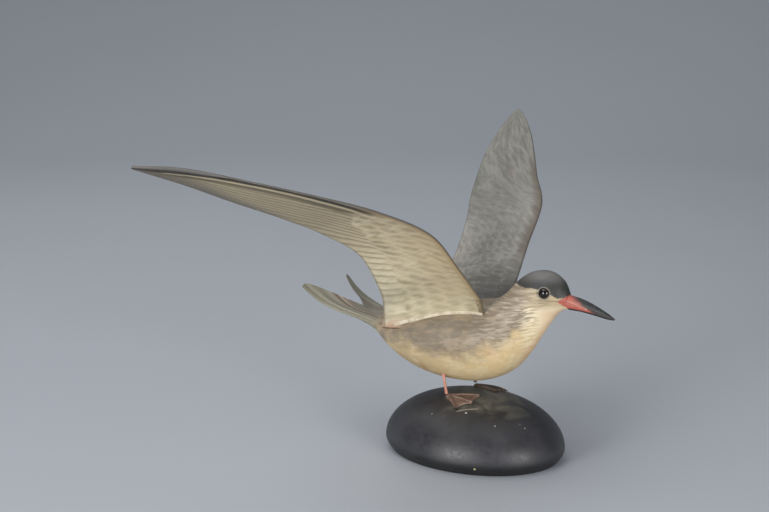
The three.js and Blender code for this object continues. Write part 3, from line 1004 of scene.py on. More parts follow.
def pebble_tree():
    """The base: a ball pressed to an oval dome whose lower edge curls in to a flat foot"""

    def build(mixer, given):
        ball = mixer.out(0, "GeometryNodeMeshUVSphere", {"Segments": 176, "Rings": 120, "Radius": 1.0})
        place = mixer.out(0, "GeometryNodeInputPosition")
        x, y, z = mixer.split(place)
        climb = mixer.apply("ARCSINE", mixer.apply("MAXIMUM", mixer.apply("MINIMUM", z, 1.0), -1.0))
        inwards = mixer.apply("MAXIMUM", mixer.apply("COSINE", climb), 0.0)
        upwards = mixer.apply("MAXIMUM", mixer.apply("SINE", climb), 0.0)
        dome = mixer.apply("POWER", inwards, given["Inward Power"])
        rise = mixer.apply("POWER", upwards, given["Upward Power"])
        dome_z = rise * (given["Height"] - given["Widest Height"]) + given["Widest Height"]
        down = climb / (-math.pi / 2)
        lift = mixer.step_line(down, 0, 0.25, 1, 0)
        slant = mixer.apply("SINE", lift * (math.pi / 2))
        curl = (1.0 - given["Foot Share"]) * slant + given["Foot Share"]
        under = curl * mixer.step_line(down, 0.25, 1, 1, 0)
        upper = mixer.apply("GREATER_THAN", z, 0.0)
        share = under + (dome - under) * upper
        low_z = lift * given["Widest Height"]
        height = low_z + (dome_z - low_z) * upper
        way = mixer.out(0, "ShaderNodeVectorMath", {0: mixer.join(x, y)}, operation="NORMALIZE")
        way_x, way_y, _ = mixer.split(way)
        ahead = mixer.apply("GREATER_THAN", way_x, 0.0)
        reach = share * (given["Rear"] + (given["Front"] - given["Rear"]) * ahead)
        side = share * given["Half Width"]
        laid = mixer.join(reach * way_x, side * way_y, height)
        pressed = mixer.out(0, "GeometryNodeSetPosition", {"Geometry": ball, "Position": laid})
        wave = mixer.noise(place, 2.2, 1.0) - 0.55
        worked = wave * given["Unevenness"] * mixer.step(z, 0.02, 0.2)
        facing = mixer.out(0, "GeometryNodeInputNormal")
        push = mixer.out(0, "ShaderNodeVectorMath", {0: facing, "Scale": worked}, operation="SCALE")
        return mixer.out(0, "GeometryNodeSetPosition", {"Geometry": pressed, "Offset": push})

    sizes = [
        "Front", "Rear", "Half Width", "Height", "Widest Height", "Foot Share", "Inward Power",
        "Upward Power", "Unevenness",
    ]
    return geometry_tree("Pebble Base", sizes, build)


def build_base(sizes, material):
    piece = placed("base_pebble", bpy.data.meshes.new("base_pebble"))
    values = {
        "Front": sizes.front, "Rear": sizes.rear, "Half Width": sizes.half_width, "Height": sizes.height,
        "Widest Height": sizes.widest_height, "Foot Share": DOME["foot"], "Inward Power": DOME["inwards"],
        "Upward Power": DOME["upwards"], "Unevenness": sizes.unevenness, "Paint": material,
    }
    grow(piece, pebble_tree(), values)
    turned_out(piece)
    dress(piece, "base_paint", "base")


def dome_top(x, y):
    """A point on the base's dome over each place on the ground, and which way it faces"""
    front, rear = BASE_BOX[1][0] / MM, -BASE_BOX[0][0] / MM
    half, height = BASE_BOX[1][1] / MM, BASE_BOX[1][2] / MM

    def level(px, py):
        share = np.hypot(px / np.where(px > 0, front, rear), py / half)
        climb = np.arccos(np.clip(share, 0, 1) ** (1 / DOME["inwards"]))
        return DOME["widest"] + (height - DOME["widest"]) * np.sin(climb) ** DOME["upwards"]

    z = level(x, y)
    nudge = 0.2
    slope_x = (level(x + nudge, y) - level(x - nudge, y)) / (2 * nudge)
    slope_y = (level(x, y + nudge) - level(x, y - nudge)) / (2 * nudge)
    facing = unit(np.stack([-slope_x, -slope_y, np.ones_like(z)], -1))
    return np.stack([x, y, z], -1), facing


def foot_outline():
    """The webbed foot's reach at every angle round its heel, for a left foot"""
    points = [(FOOT["heel"] * math.cos(angle), FOOT["heel"] * math.sin(angle))
              for angle in np.radians(np.linspace(*HEEL_ROUND))]
    last = None
    for turn, length in reversed(TOES):
        tip_length = length - FOOT["claw"]
        tip = np.array([math.cos(math.radians(turn)), math.sin(math.radians(turn))]) * tip_length
        start = np.array(points[-1])
        if last is None:
            points += [tuple(start + (tip - start) * t) for t in np.linspace(0, 1, SIDE_POINTS)[1:]]
        else:
            middle = math.radians((turn + last) / 2)
            hollow = np.array([math.cos(middle), math.sin(middle)]) * length * FOOT["hollow"]
            for t in np.linspace(0, 1, WEB_POINTS)[1:]:
                points.append(tuple(start * (1 - t) ** 2 + 2 * hollow * t * (1 - t) + tip * t * t))
        last = turn
    start, end = np.array(points[-1]), np.array(points[0])
    points += [tuple(start + (end - start) * t) for t in np.linspace(0, 1, SIDE_POINTS)[1:]]
    points = np.array(points)
    angles = np.unwrap(np.arctan2(points[:, 1], points[:, 0]))
    reach = np.hypot(points[:, 0], points[:, 1])
    return lambda turn: np.interp((turn - angles[0]) % (2 * np.pi) + angles[0], angles, reach)


def toe_ridge(x, y):
    """How far a place on the foot rises on the nearest toe, from 0 on the web to 1"""
    ridge = np.zeros_like(x)
    for turn, length in TOES:
        angle = math.radians(turn)
        ahead = x * math.cos(angle) + y * math.sin(angle)
        aside = -x * math.sin(angle) + y * math.cos(angle)
        share = np.clip(ahead / (length - FOOT["claw"]), 0, 1)
        knuckle = 1 + KNUCKLES["swell"] * np.cos(share * KNUCKLES["count"] * 2 * np.pi)
        half = (FOOT["half"] + (FOOT["tip"] - FOOT["half"]) * share) * knuckle
        round_top = np.sqrt(np.clip(1 - (aside / half) ** 2, 0, 1))
        before = smooth_step(ahead, -FOOT["heel"] * 0.8, 0.5)
        ridge = np.maximum(ridge, round_top * before * (1 - KNUCKLES["fall"] * share))
    heel = np.sqrt(np.clip(1 - (np.hypot(x, y) / FOOT["heel"]) ** 2, 0, 1))
    return np.maximum(ridge, heel)


def build_foot(name, side, material):
    reach = foot_outline()
    angles = list(np.radians(np.linspace(-180, 180, FOOT_FINENESS["around"], endpoint=False)))
    fan = np.linspace(-FOOT_FINENESS["toe_turn"], FOOT_FINENESS["toe_turn"], FOOT_FINENESS["toe"])
    for turn, _ in TOES:
        angles += list(np.radians(turn + fan))
    angles = np.unique(np.round(np.array(angles), 5))
    steps = np.linspace(0, 1, FOOT_FINENESS["rings"])[1:]
    r = reach(angles)[None, :] * steps[:, None]
    x, y = r * np.cos(angles)[None, :], r * np.sin(angles)[None, :]
    rim = (1 - steps[:, None]) * reach(angles)[None, :]
    thin = RIM["thin"] + (1 - RIM["thin"]) * smooth_step(rim, 0.0, RIM["reach"])
    thick = (FOOT["web"] + (FOOT["toe"] - FOOT["web"]) * toe_ridge(x, y)) * thin
    crease = np.sin(np.hypot(x, y) * CREASES["pace"]) * CREASES["depth"]
    crease *= smooth_step(rim, *CREASES["fade"])
    heel_x, heel_y = HEELS[name.split("_")[1]]
    ground, facing = dome_top(heel_x + x, heel_y + side * y)
    top = ground + facing * (FOOT["gap"] + thick + crease)[..., None]
    sole = ground + facing * FOOT["gap"]
    centre, up = dome_top(np.array([float(heel_x)]), np.array([float(heel_y)]))
    over, below = (centre + up * (FOOT["gap"] + FOOT["toe"]), centre + up * FOOT["gap"])
    points, faces = closed_rings(np.concatenate([top, sole[::-1]]), over, below)
    flat_x = np.concatenate([x.ravel(), x[::-1].ravel(), [0, 0]])
    flat_y = np.concatenate([y.ravel(), y[::-1].ravel(), [0, 0]])
    maps = {"Sole": corner_values(faces, flat_x, flat_y)}
    piece = new_piece(name, points, faces, [material], maps)
    turned_out(piece)
    dress(piece, "foot_paint", name.replace("_web", ""))


def build_leg(name, side, sizes, material):
    _, tree = body_skin()
    heel_x, heel_y = HEELS[name.split("_")[1]]
    foot = np.array([heel_x, heel_y, LEG["foot"]], float)
    top = np.array([heel_x - LEG["lean_back"], heel_y + side * LEG["lean_out"], LEG["top"]])
    along = unit(top - foot)
    aside = unit(np.cross(along, [0, 1, 0]))
    ahead = np.cross(aside, along)
    _, facing = dome_top(foot[:1], foot[1:2])
    clear = (FOOT["toe"] + 2 * FOOT["gap"]) / facing[0][2]
    turn = np.linspace(0, 2 * np.pi, LEG_FINENESS["around"], endpoint=False)
    radius = sizes.radius / MM
    around = aside * np.cos(turn)[:, None] + ahead * np.sin(turn)[:, None]
    bottoms, tops = [], []
    for point in foot + around * radius:
        below, _ = dome_top(point[:1], point[1:2])
        bottoms.append((below[0][2] + clear - point[2]) / along[2])
        hit = tree.ray_cast(Vector((point + along * LEG_FIT["seek"]) * MM), Vector(along))
        if hit[0] is None:
            raise RuntimeError(f"{name} doesn't reach the body")
        tops.append(LEG_FIT["seek"] + hit[3] / MM - LEG_FIT["clear"])
    bottoms, tops = np.array(bottoms), np.array(tops)
    rings = []
    for share in np.linspace(0, 1, LEG_FINENESS["rings"]):
        from_waist = abs(share - LEG_WAIST["place"]) / (1 - LEG_WAIST["place"])
        slim = LEG_WAIST["slim"] + (1 - LEG_WAIST["slim"]) * from_waist ** 2
        scale = 1 + LEG_WAIST["wave"] * math.sin(share * LEG_WAIST["waves"])
        run = bottoms + (tops - bottoms) * share
        rings.append(foot + around * radius * slim * scale + along * run[:, None])
    points, faces = closed_rings(np.array(rings))
    piece = new_piece(name, points, faces, [material])
    turned_out(piece)
    dress(piece, "leg_paint", name.replace("_rod", ""))


def claw_tree():
    """A small curved claw on every point, aimed the way the point says"""

    def build(mixer, given):
        sizes = {
            "Vertices": 14, "Side Segments": 8, "Radius Top": 0.0001, "Radius Bottom": given["Radius"],
            "Depth": given["Length"],
        }
        cone = mixer.out("Mesh", "GeometryNodeMeshCone", sizes)
        _, _, z = mixer.split(mixer.out(0, "GeometryNodeInputPosition"))
        share = z / given["Length"]
        droop = share * share * given["Droop"]
        bent = mixer.out(0, "GeometryNodeSetPosition", {"Geometry": cone, "Offset": mixer.join(droop)})
        aim = {"Vector": mixer.stored("aim")}
        aimed = mixer.out(0, "FunctionNodeAlignRotationToVector", aim, axis="Z")
        up = {"Rotation": aimed, "Vector": mixer.stored("up")}
        stood = mixer.out(0, "FunctionNodeAlignRotationToVector", up, axis="X", pivot_axis="Z")
        inputs = {"Points": given["Geometry"], "Instance": bent, "Rotation": stood}
        return mixer.out(0, "GeometryNodeInstanceOnPoints", inputs)

    return geometry_tree("Toe Claws", ["Radius", "Length", "Droop"], build)


def points_piece(name, points, edges=(), **vectors):
    """Loose points, or a line of them, each with its own directions"""
    mesh = bpy.data.meshes.new(name)
    mesh.from_pydata((np.asarray(points) * MM).tolist(), [list(e) for e in edges], [])
    for title, values in vectors.items():
        attribute = mesh.attributes.new(title, "FLOAT_VECTOR", "POINT")
        attribute.data.foreach_set("vector", np.asarray(values, np.float32).ravel())
    return placed(name, mesh)


def build_claws(material):
    points, aims, ups = [], [], []
    for name, side in SIDES.items():
        for turn, length in TOES:
            angle = math.radians(turn)
            way = np.array([math.cos(angle), side * math.sin(angle)])
            tip = np.array(HEELS[name]) + way * (length - FOOT["claw"] - CLAW["set_back"])
            ground, facing = dome_top(tip[:1], tip[1:])
            ahead, _ = dome_top(tip[:1] + way[0], tip[1:] + way[1])
            points.append(ground[0] + facing[0] * (FOOT["gap"] + CLAW["stand"]))
            aims.append(unit(ahead[0] - ground[0] + facing[0] * CLAW["aim"]))
            ups.append(-facing[0])
    piece = points_piece("claws", points, aim=aims, up=ups)
    values = {
        "Radius": CLAW["radius"] * MM, "Length": (FOOT["claw"] + CLAW["buried"]) * MM,
        "Droop": CLAW["droop"] * MM, "Paint": material,
    }
    grow(piece, claw_tree(), values)
    turned_out(piece)
    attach(piece, "root")


def filler_tree():
    """A flat, uneven strip of filler pressed along a line, facing the way each point says"""

    def build(mixer, given):
        line = mixer.out(0, "GeometryNodeMeshToCurve", {"Mesh": given["Geometry"]})
        spaced = mixer.out(0, "GeometryNodeResampleCurve", {"Curve": line, "Count": STRIP["along"]})
        lie = {"Curve": spaced, "Normal": mixer.stored("lie")}
        facing = mixer.out(0, "GeometryNodeSetCurveNormal", lie, mode="FREE")
        place = mixer.out(0, "GeometryNodeInputPosition")
        rough = mixer.noise(place * (1 / MM, 1 / MM, 1 / MM), STRIP["lumps"], 3.0)
        share = mixer.out("Factor", "GeometryNodeSplineParameter")
        ends = mixer.step(share, *STRIP["front"]) * mixer.step(share, *STRIP["rear"])
        radius = (rough * STRIP["rough"] + STRIP["least"]) * ends
        sized = mixer.out(0, "GeometryNodeSetCurveRadius", {"Curve": facing, "Radius": radius})
        ring = {"Resolution": STRIP["around"], "Radius": 1.0}
        circle = mixer.out(0, "GeometryNodeCurvePrimitiveCircle", ring)
        flat = mixer.join(given["Thickness"], given["Half Width"], 1.0)
        oval = mixer.out(0, "GeometryNodeTransform", {"Geometry": circle, "Scale": flat})
        strip = {"Curve": sized, "Profile Curve": oval, "Fill Caps": True}
        return mixer.out(0, "GeometryNodeCurveToMesh", strip)

    return geometry_tree("Root Filler", ["Half Width", "Thickness"], build)


def build_root_filler(name, side, sizes, material):
    wing = Wing(side)
    skin, tree = body_skin()
    across = np.linspace(FILLER["start"], FILLER["end"], FILLER["points"])
    drops = FILLER["sag"] * np.sin(np.pi * across)
    starts = root_starts(wing, across, -np.ones_like(across), skin)
    line = wing.place(across, starts, -1.0)
    up = unit(wing.place(across, starts + FILLER["step"], -1.0) - line)
    wing_out = unit(np.cross(up, np.gradient(line, axis=0))) * side
    points, lies = [], []
    for place, out, drop in zip(line, wing_out, drops):
        near, normal, _, _ = tree.find_nearest(Vector((place - (0, 0, drop)) * MM))
        body_out = np.array(normal)
        if np.dot(out, [0, side, -0.5]) < 0:
            out = -out
        lies.append(unit(body_out + out))
        points.append(np.array(near) / MM + body_out * FILLER["off_body"] + out * FILLER["off_wing"])
    edges = [(i, i + 1) for i in range(len(points) - 1)]
    piece = points_piece(name, points, edges, lie=lies)
    values = {
        "Half Width": sizes.filler_width / 2, "Thickness": sizes.filler_thickness / 2, "Paint": material,
    }
    grow(piece, filler_tree(), values)
    turned_out(piece)
    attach(piece, "root")


# The finishes

def dome_wear(mix, x, y):
    """Where hands and feet have worn the base's top, and the darker ring round it, both from 0 to 1"""
    from_middle = mix.length((x - WORN["x"]) / WORN["long"], (y - WORN["y"]) / WORN["wide"])
    ragged = mix.noise(mix.place, 0.055, 5.0, 0.8) - 0.5
    reach = ragged * WORN["ragged"] + from_middle
    ring = mix.band(reach, 0.7, 1.0, 1.6, 1.15)
    return mix.step(reach, 0.3, 1.05, 0.9, 0.0), ring


def base_paint():
    """Charcoal, worn brown on top, darkened to near black along the lower edge as painted shade, with pale
    lines before the feet painted as highlights on a ridge of filler, specks and chips
    """
    mix = Paint("Base Paint")
    x, y, z = mix.split(mix.place)
    cloud = mix.spread(mix.place, 0.03, 3.0, 0.5)
    mix.color = mix.blend(cloud, paint(38, 38, 42), paint(53, 53, 58))
    fine, height = mix.brushed(mix.place, 0.5, 0.5)
    mix.over(fine * 0.2, paint(72, 72, 76))
    worn, ring = dome_wear(mix, x, y)
    mix.over(ring * 0.25, paint(30, 30, 30))
    brown = mix.blend(mix.spread(mix.place, 0.09, 3.0), paint(94, 92, 82), paint(126, 121, 109))
    mix.over(worn, brown)
    # painted shade: the lower edge, where the dome curls in underneath, is darkened nearly to black
    mix.over(mix.step(z, 15.0, 6.0, 0.0, 0.9), paint(13, 13, 15))
    # painted highlights: pale lines in front of each foot, where a low ridge of filler catches the light
    for line in APRON_HIGHLIGHTS:
        ends = mix.step(x, line[0][0], line[0][0] + 2.0) * mix.step(x, line[-1][0], line[-1][0] - 2.0)
        apron_highlight = mix.step(abs(y - mix.curve(x, line)), 0.9, 0.35) * ends
        mix.over(apron_highlight * 0.8, paint(172, 168, 154))
    for spot in BASE_SPECKS:
        from_spot = mix.distance(mix.place, spot[:3])
        mix.over(mix.step(from_spot, spot[3], spot[3] * 0.6), paint(*spot[4]))
    chip = mix.aged(paint(92, 88, 82), 0.12, 0.012, 0.14, paint(140, 136, 128))
    rough = fine * 0.12 + (worn * 0.12 + 0.4)
    level = height - chip * 1.5
    return mix.coat(rough, level, 0.1)


class BodyPaint(Paint):
    """The body's paint, laid on part by part"""

    def __init__(self):
        super().__init__("Body Paint")
        self.x, self.y, self.z = self.split(self.place)
        tilt = {"Vector": self.place, "Angle": math.radians(STROKE_TILT)}
        tilted = self.out(0, "ShaderNodeVectorRotate", tilt, rotation_type="Y_AXIS")
        self.fine, self.height = self.brushed(tilted, 0.16, 0.62)
        self.long_dash, _ = self.brushed(tilted + (10, 50, 20), 0.07, 0.3)
        self.mottle = self.spread(tilted * (0.055, 0.12, 0.12), 1.0, 3.0, 0.8)
        self.soft = self.noise(self.place, 0.05, 3.0, 0.4)
        # short strokes run level round the breast and rise a little towards the head
        level_round = self.x - abs(self.y)
        across = self.z - level_round * 0.13
        strokes = self.join(level_round * 0.085, across * 0.5, self.y * 0.01)
        self.dash = self.step(self.noise(strokes, 1.0, 1.5, 0.3), 0.42, 0.56)
        self.light_dash = self.step(self.noise(strokes + (40, 10, 70), 1.0, 1.5, 0.3), 0.52, 0.66)
        self.feathered = self.fine - 0.5

    def back_and_flanks(self):
        """Brown back and rump, a patchy grey band on the flanks under the wings that is paint and painted
        shade, and a streaked neck
        """
        x = self.x
        self.color = self.blend(self.mottle, paint(112, 99, 80), paint(154, 137, 112))
        self.over(self.step(self.long_dash, 0.3, 0.7) * 0.35, paint(178, 162, 138))
        # a patchy grey band just under each wing's root: grey paint, darkened as painted shade under the
        # raised wing
        below_root = x * WING_ROOT_LINE["slope"] + WING_ROOT_LINE["height"] - self.z
        dark = self.band(below_root, 1.0, 7.0, 38.0, 12.0)
        patchy = self.mottle * -0.9 + 0.95
        self.over(dark * patchy, paint(125, 118, 107))
        neck = self.step(x, 4.0, 40.0)
        self.over(neck * 0.9, paint(162, 148, 128))
        streaked = self.step(x, -6.0, 22.0) * (1.0 - self.dash)
        self.over(streaked * 0.65, paint(114, 100, 80))
        self.over(neck * self.light_dash * 0.5, paint(204, 192, 172))

    def belly_and_throat(self):
        """Cream with a ragged upper edge, a pale throat and a touch of peach"""
        x, y, z, soft = self.x, self.y, self.z, self.soft
        belly = self.blend(self.step(x, -70.0, 30.0), paint(186, 164, 124), paint(208, 183, 138))
        belly = self.blend(self.step(self.mottle, 0.35, 0.9) * 0.5, belly, paint(220, 202, 164))
        belly = self.blend(self.step(self.fine, 0.6, 0.2) * 0.22, belly, paint(178, 156, 118))
        ragged = (self.long_dash - 0.5) * 6.0 + (soft - 0.5) * 34.0
        self.over(self.step(z + ragged - self.curve(x, CREAM_EDGE), 7.0, -13.0), belly)
        face = self.step(x, 50.0, 70.0) * self.step(z, 138.0, 152.0)
        self.over(face * 0.8, paint(184, 166, 133))
        face_dash = face * (1.0 - self.dash) * self.step(x, 84.0, 68.0)
        self.over(face_dash * 0.6, paint(134, 116, 88))
        throat = self.step(self.dash * 10.0 + x, 58.0, 74.0) * self.step(soft * 6.0 + z, 156.0, 149.0)
        self.over(throat * 0.8, paint(238, 223, 189))
        peach = self.step(x, 66.0, 78.0) * self.step(z, 150.0, 142.0) * 0.4
        breast = self.step(abs(y), 13.0, 3.0) * self.step(x, 36.0, 58.0)
        front = breast * self.step(z, 150.0, 146.0) * 0.5
        self.over(self.apply("MAXIMUM", peach, front), paint(212, 164, 122))

    def stains(self):
        for x, z, radius, strength, tone in BODY_STAINS:
            from_spot = self.distance(self.join(self.x, 0.0, self.z), (x, 0, z))
            reach = (self.soft - 0.5) * (radius * 1.6) + from_spot
            self.over(self.step(reach, radius, radius * 0.2, end=strength), paint(*tone))

    def joint_cracks(self):
        """The stained patch at the rear of each wing's joint, and the crack below it painted as a dark line
        of shade
        """
        over_crack = self.z - self.curve(self.x, CRACK_LINE)
        by_joint = self.band(self.x, -91.0, -87.0, -64.0, -69.0) * self.step(abs(self.y), 10.0, 14.0)
        patch = self.band(over_crack, -0.6, 0.4, 7.0, 5.0) * by_joint
        self.over(patch * 0.8, paint(196, 160, 134))
        # painted shade: the crack is only painted, as the dark shade inside a narrow opening
        crack = self.step(abs(over_crack), 0.9, 0.3) * by_joint
        self.over(crack * 0.85, paint(64, 48, 38))

    def tail(self):
        """Long streaks on both sides of the tail, greener outside, with a brown and a pink band"""
        sine, cosine, _ = self.laid_out("Lay")
        run = self.laid_out("Run")[0]
        side = abs(sine)
        streaks = self.noise(self.join(run * 0.012, side * 9.0, cosine), 1.0, 4.0)
        streaks = self.step(streaks, 0.4, 0.6)
        green = self.step(side, 0.66, 0.8)
        upper = self.blend(streaks, paint(118, 112, 99), paint(162, 156, 141))
        upper = self.blend(green * 0.4, upper, paint(150, 151, 130))
        lower = self.blend(streaks, paint(128, 123, 100), paint(160, 157, 134))
        lower = self.blend(green * 0.5, lower, paint(148, 151, 124))
        color = self.blend(self.apply("GREATER_THAN", cosine, 0.0), lower, upper)
        brown_band = self.step(abs(side - 0.62), 0.08, 0.03) * 0.55
        rim = self.step(side, 0.95, 0.995) * 0.35
        pink_band = self.step(abs(side - 0.47), 0.05, 0.015) * 0.5
        for share, tone in (
            (brown_band, paint(104, 84, 66)), (rim, paint(88, 86, 70)),
            (self.fine * 0.25, paint(112, 106, 92)), (pink_band, paint(150, 118, 104)),
        ):
            color = self.blend(share, color, tone)
        self.over(self.step(self.x, -90.0, -108.0), color)

    def cap(self, tone):
        above = self.z - self.curve(self.x, CAP_EDGE) + self.feathered
        # painted light: the cap grows lighter towards the crown, where the light falls on its top
        slate_with_lit_crown = self.blend(self.step(self.z, 167.0, 179.0), tone, paint(111, 111, 110))
        slate_with_lit_crown = self.blend((1.0 - self.dash) * 0.15, slate_with_lit_crown, paint(54, 57, 57))
        self.over(self.step(above, -0.6, 0.6) * self.step(self.x, 34.0, 38.0), slate_with_lit_crown)

    def eye_and_gape(self):
        """The pale eyelid, its dark corners and the line of the gape"""
        from_x, from_z = self.x - EYE_CENTRE[0], self.z - EYE_CENTRE[2]
        from_eye = self.length(from_x, from_z)
        self.over(self.band(from_eye, 4.7, 5.1, 6.3, 5.8) * 0.7, paint(128, 123, 114))
        self.over(self.step(from_eye, 4.9, 4.5), paint(26, 22, 18))
        corner = self.step(abs(from_z), 1.0, 0.3) * self.step(abs(from_x), 7.0, 6.2)
        self.over(corner * 0.6, paint(60, 54, 48))
        gape = self.step(abs(self.z - self.curve(self.x, GAPE)), 0.8, 0.15)
        self.over(gape * self.band(self.x, 73.0, 78.0, 90.0, 88.0) * 0.7, paint(122, 104, 82))

    def bill(self, tone):
        """Coral with a dark ridge and tip, a pale shine under the ridge and the mouth's line"""
        x, z, fine = self.x, self.z, self.fine
        coral = self.blend(self.step(self.soft, 0.4, 0.6), tone, paint(160, 88, 75))
        coral = self.blend(fine * 0.3, coral, paint(186, 124, 106))
        dusk = self.step(self.feathered * 1.6 + (z - self.curve(x, CULMEN_EDGE)), -2.0, 2.6)
        low = self.step(self.curve(x, BILL_LOW_EDGE) - z, -0.5, 0.5) * self.step(x, 89.0, 94.0)
        dark = self.blend(fine, paint(26, 28, 30), paint(48, 50, 50))
        color = self.blend(self.apply("MAXIMUM", dusk, low), coral, dark)
        seam = self.step(abs(z - self.curve(x, BILL_LINE)), 0.5, 0.1)
        color = self.blend(seam * 0.3, color, paint(110, 46, 38))
        by_ridge = self.step(abs(z - self.curve(x, BILL_RIDGE)), 0.9, 0.1)
        shine = by_ridge * self.band(x, 91.0, 96.0, 113.0, 106.0)
        color = self.blend(shine * 0.5, color, paint(206, 152, 136))
        begun = self.feathered * 1.2 + (x - self.curve(z, BILL_EDGE))
        self.over(self.step(begun, -0.6, 0.6), color)


def body_paint(cap, bill):
    mix = BodyPaint()
    mix.back_and_flanks()
    mix.belly_and_throat()
    mix.stains()
    mix.joint_cracks()
    mix.tail()
    mix.cap(cap)
    mix.eye_and_gape()
    mix.bill(bill)
    grime = mix.step(mix.x, 90.0, 98.0, 0.2, 0.04)
    chip = mix.aged(paint(142, 122, 92), grime, 0.006, 0.2, paint(190, 178, 152))
    return mix.coat(mix.fine * 0.1 + 0.48, mix.height - chip, 0.16)


def scale_group():
    """Overlapping small feathers in staggered rows: the rim and heart of each, and its own chance"""

    def build(mixer, given):
        row = mixer.apply("FLOOR", given["Rows"])
        inside = mixer.apply("FRACT", given["Rows"])
        offset = mixer.apply("FLOORED_MODULO", row, 2.0) * 0.5
        shifted = given["Columns"] + offset
        column = mixer.apply("FLOOR", shifted)
        aside = mixer.apply("FRACT", shifted) - 0.5
        cell = mixer.join(column, row)
        chance = mixer.out("Value", "ShaderNodeTexWhiteNoise", {"Vector": cell}, noise_dimensions="3D")
        depth = aside * aside * 1.6 + inside
        rim = mixer.step(abs(depth - 0.95), 0.25, 0.03)
        from_heart = mixer.length(aside / given["Narrow"], (inside - 0.5) / 0.5)
        return {"Rim": rim, "Heart": mixer.step(from_heart, 1.2, 0.1), "Chance": chance}

    inputs = [("Rows", "Float", 0.0), ("Columns", "Float", 0.0), ("Narrow", "Float", 0.4)]
    outputs = [("Rim", "Float"), ("Heart", "Float"), ("Chance", "Float")]
    return shader_group("Small Feathers", inputs, outputs, build)


def wing_lay(mix):
    """A wing's place in millimetres across and along it, for strokes that follow its feathers"""
    u, v, _ = mix.laid_out("Lay")
    return u, v, mix.join(u * WING_SIZE["width"], v * WING_SIZE["length"])


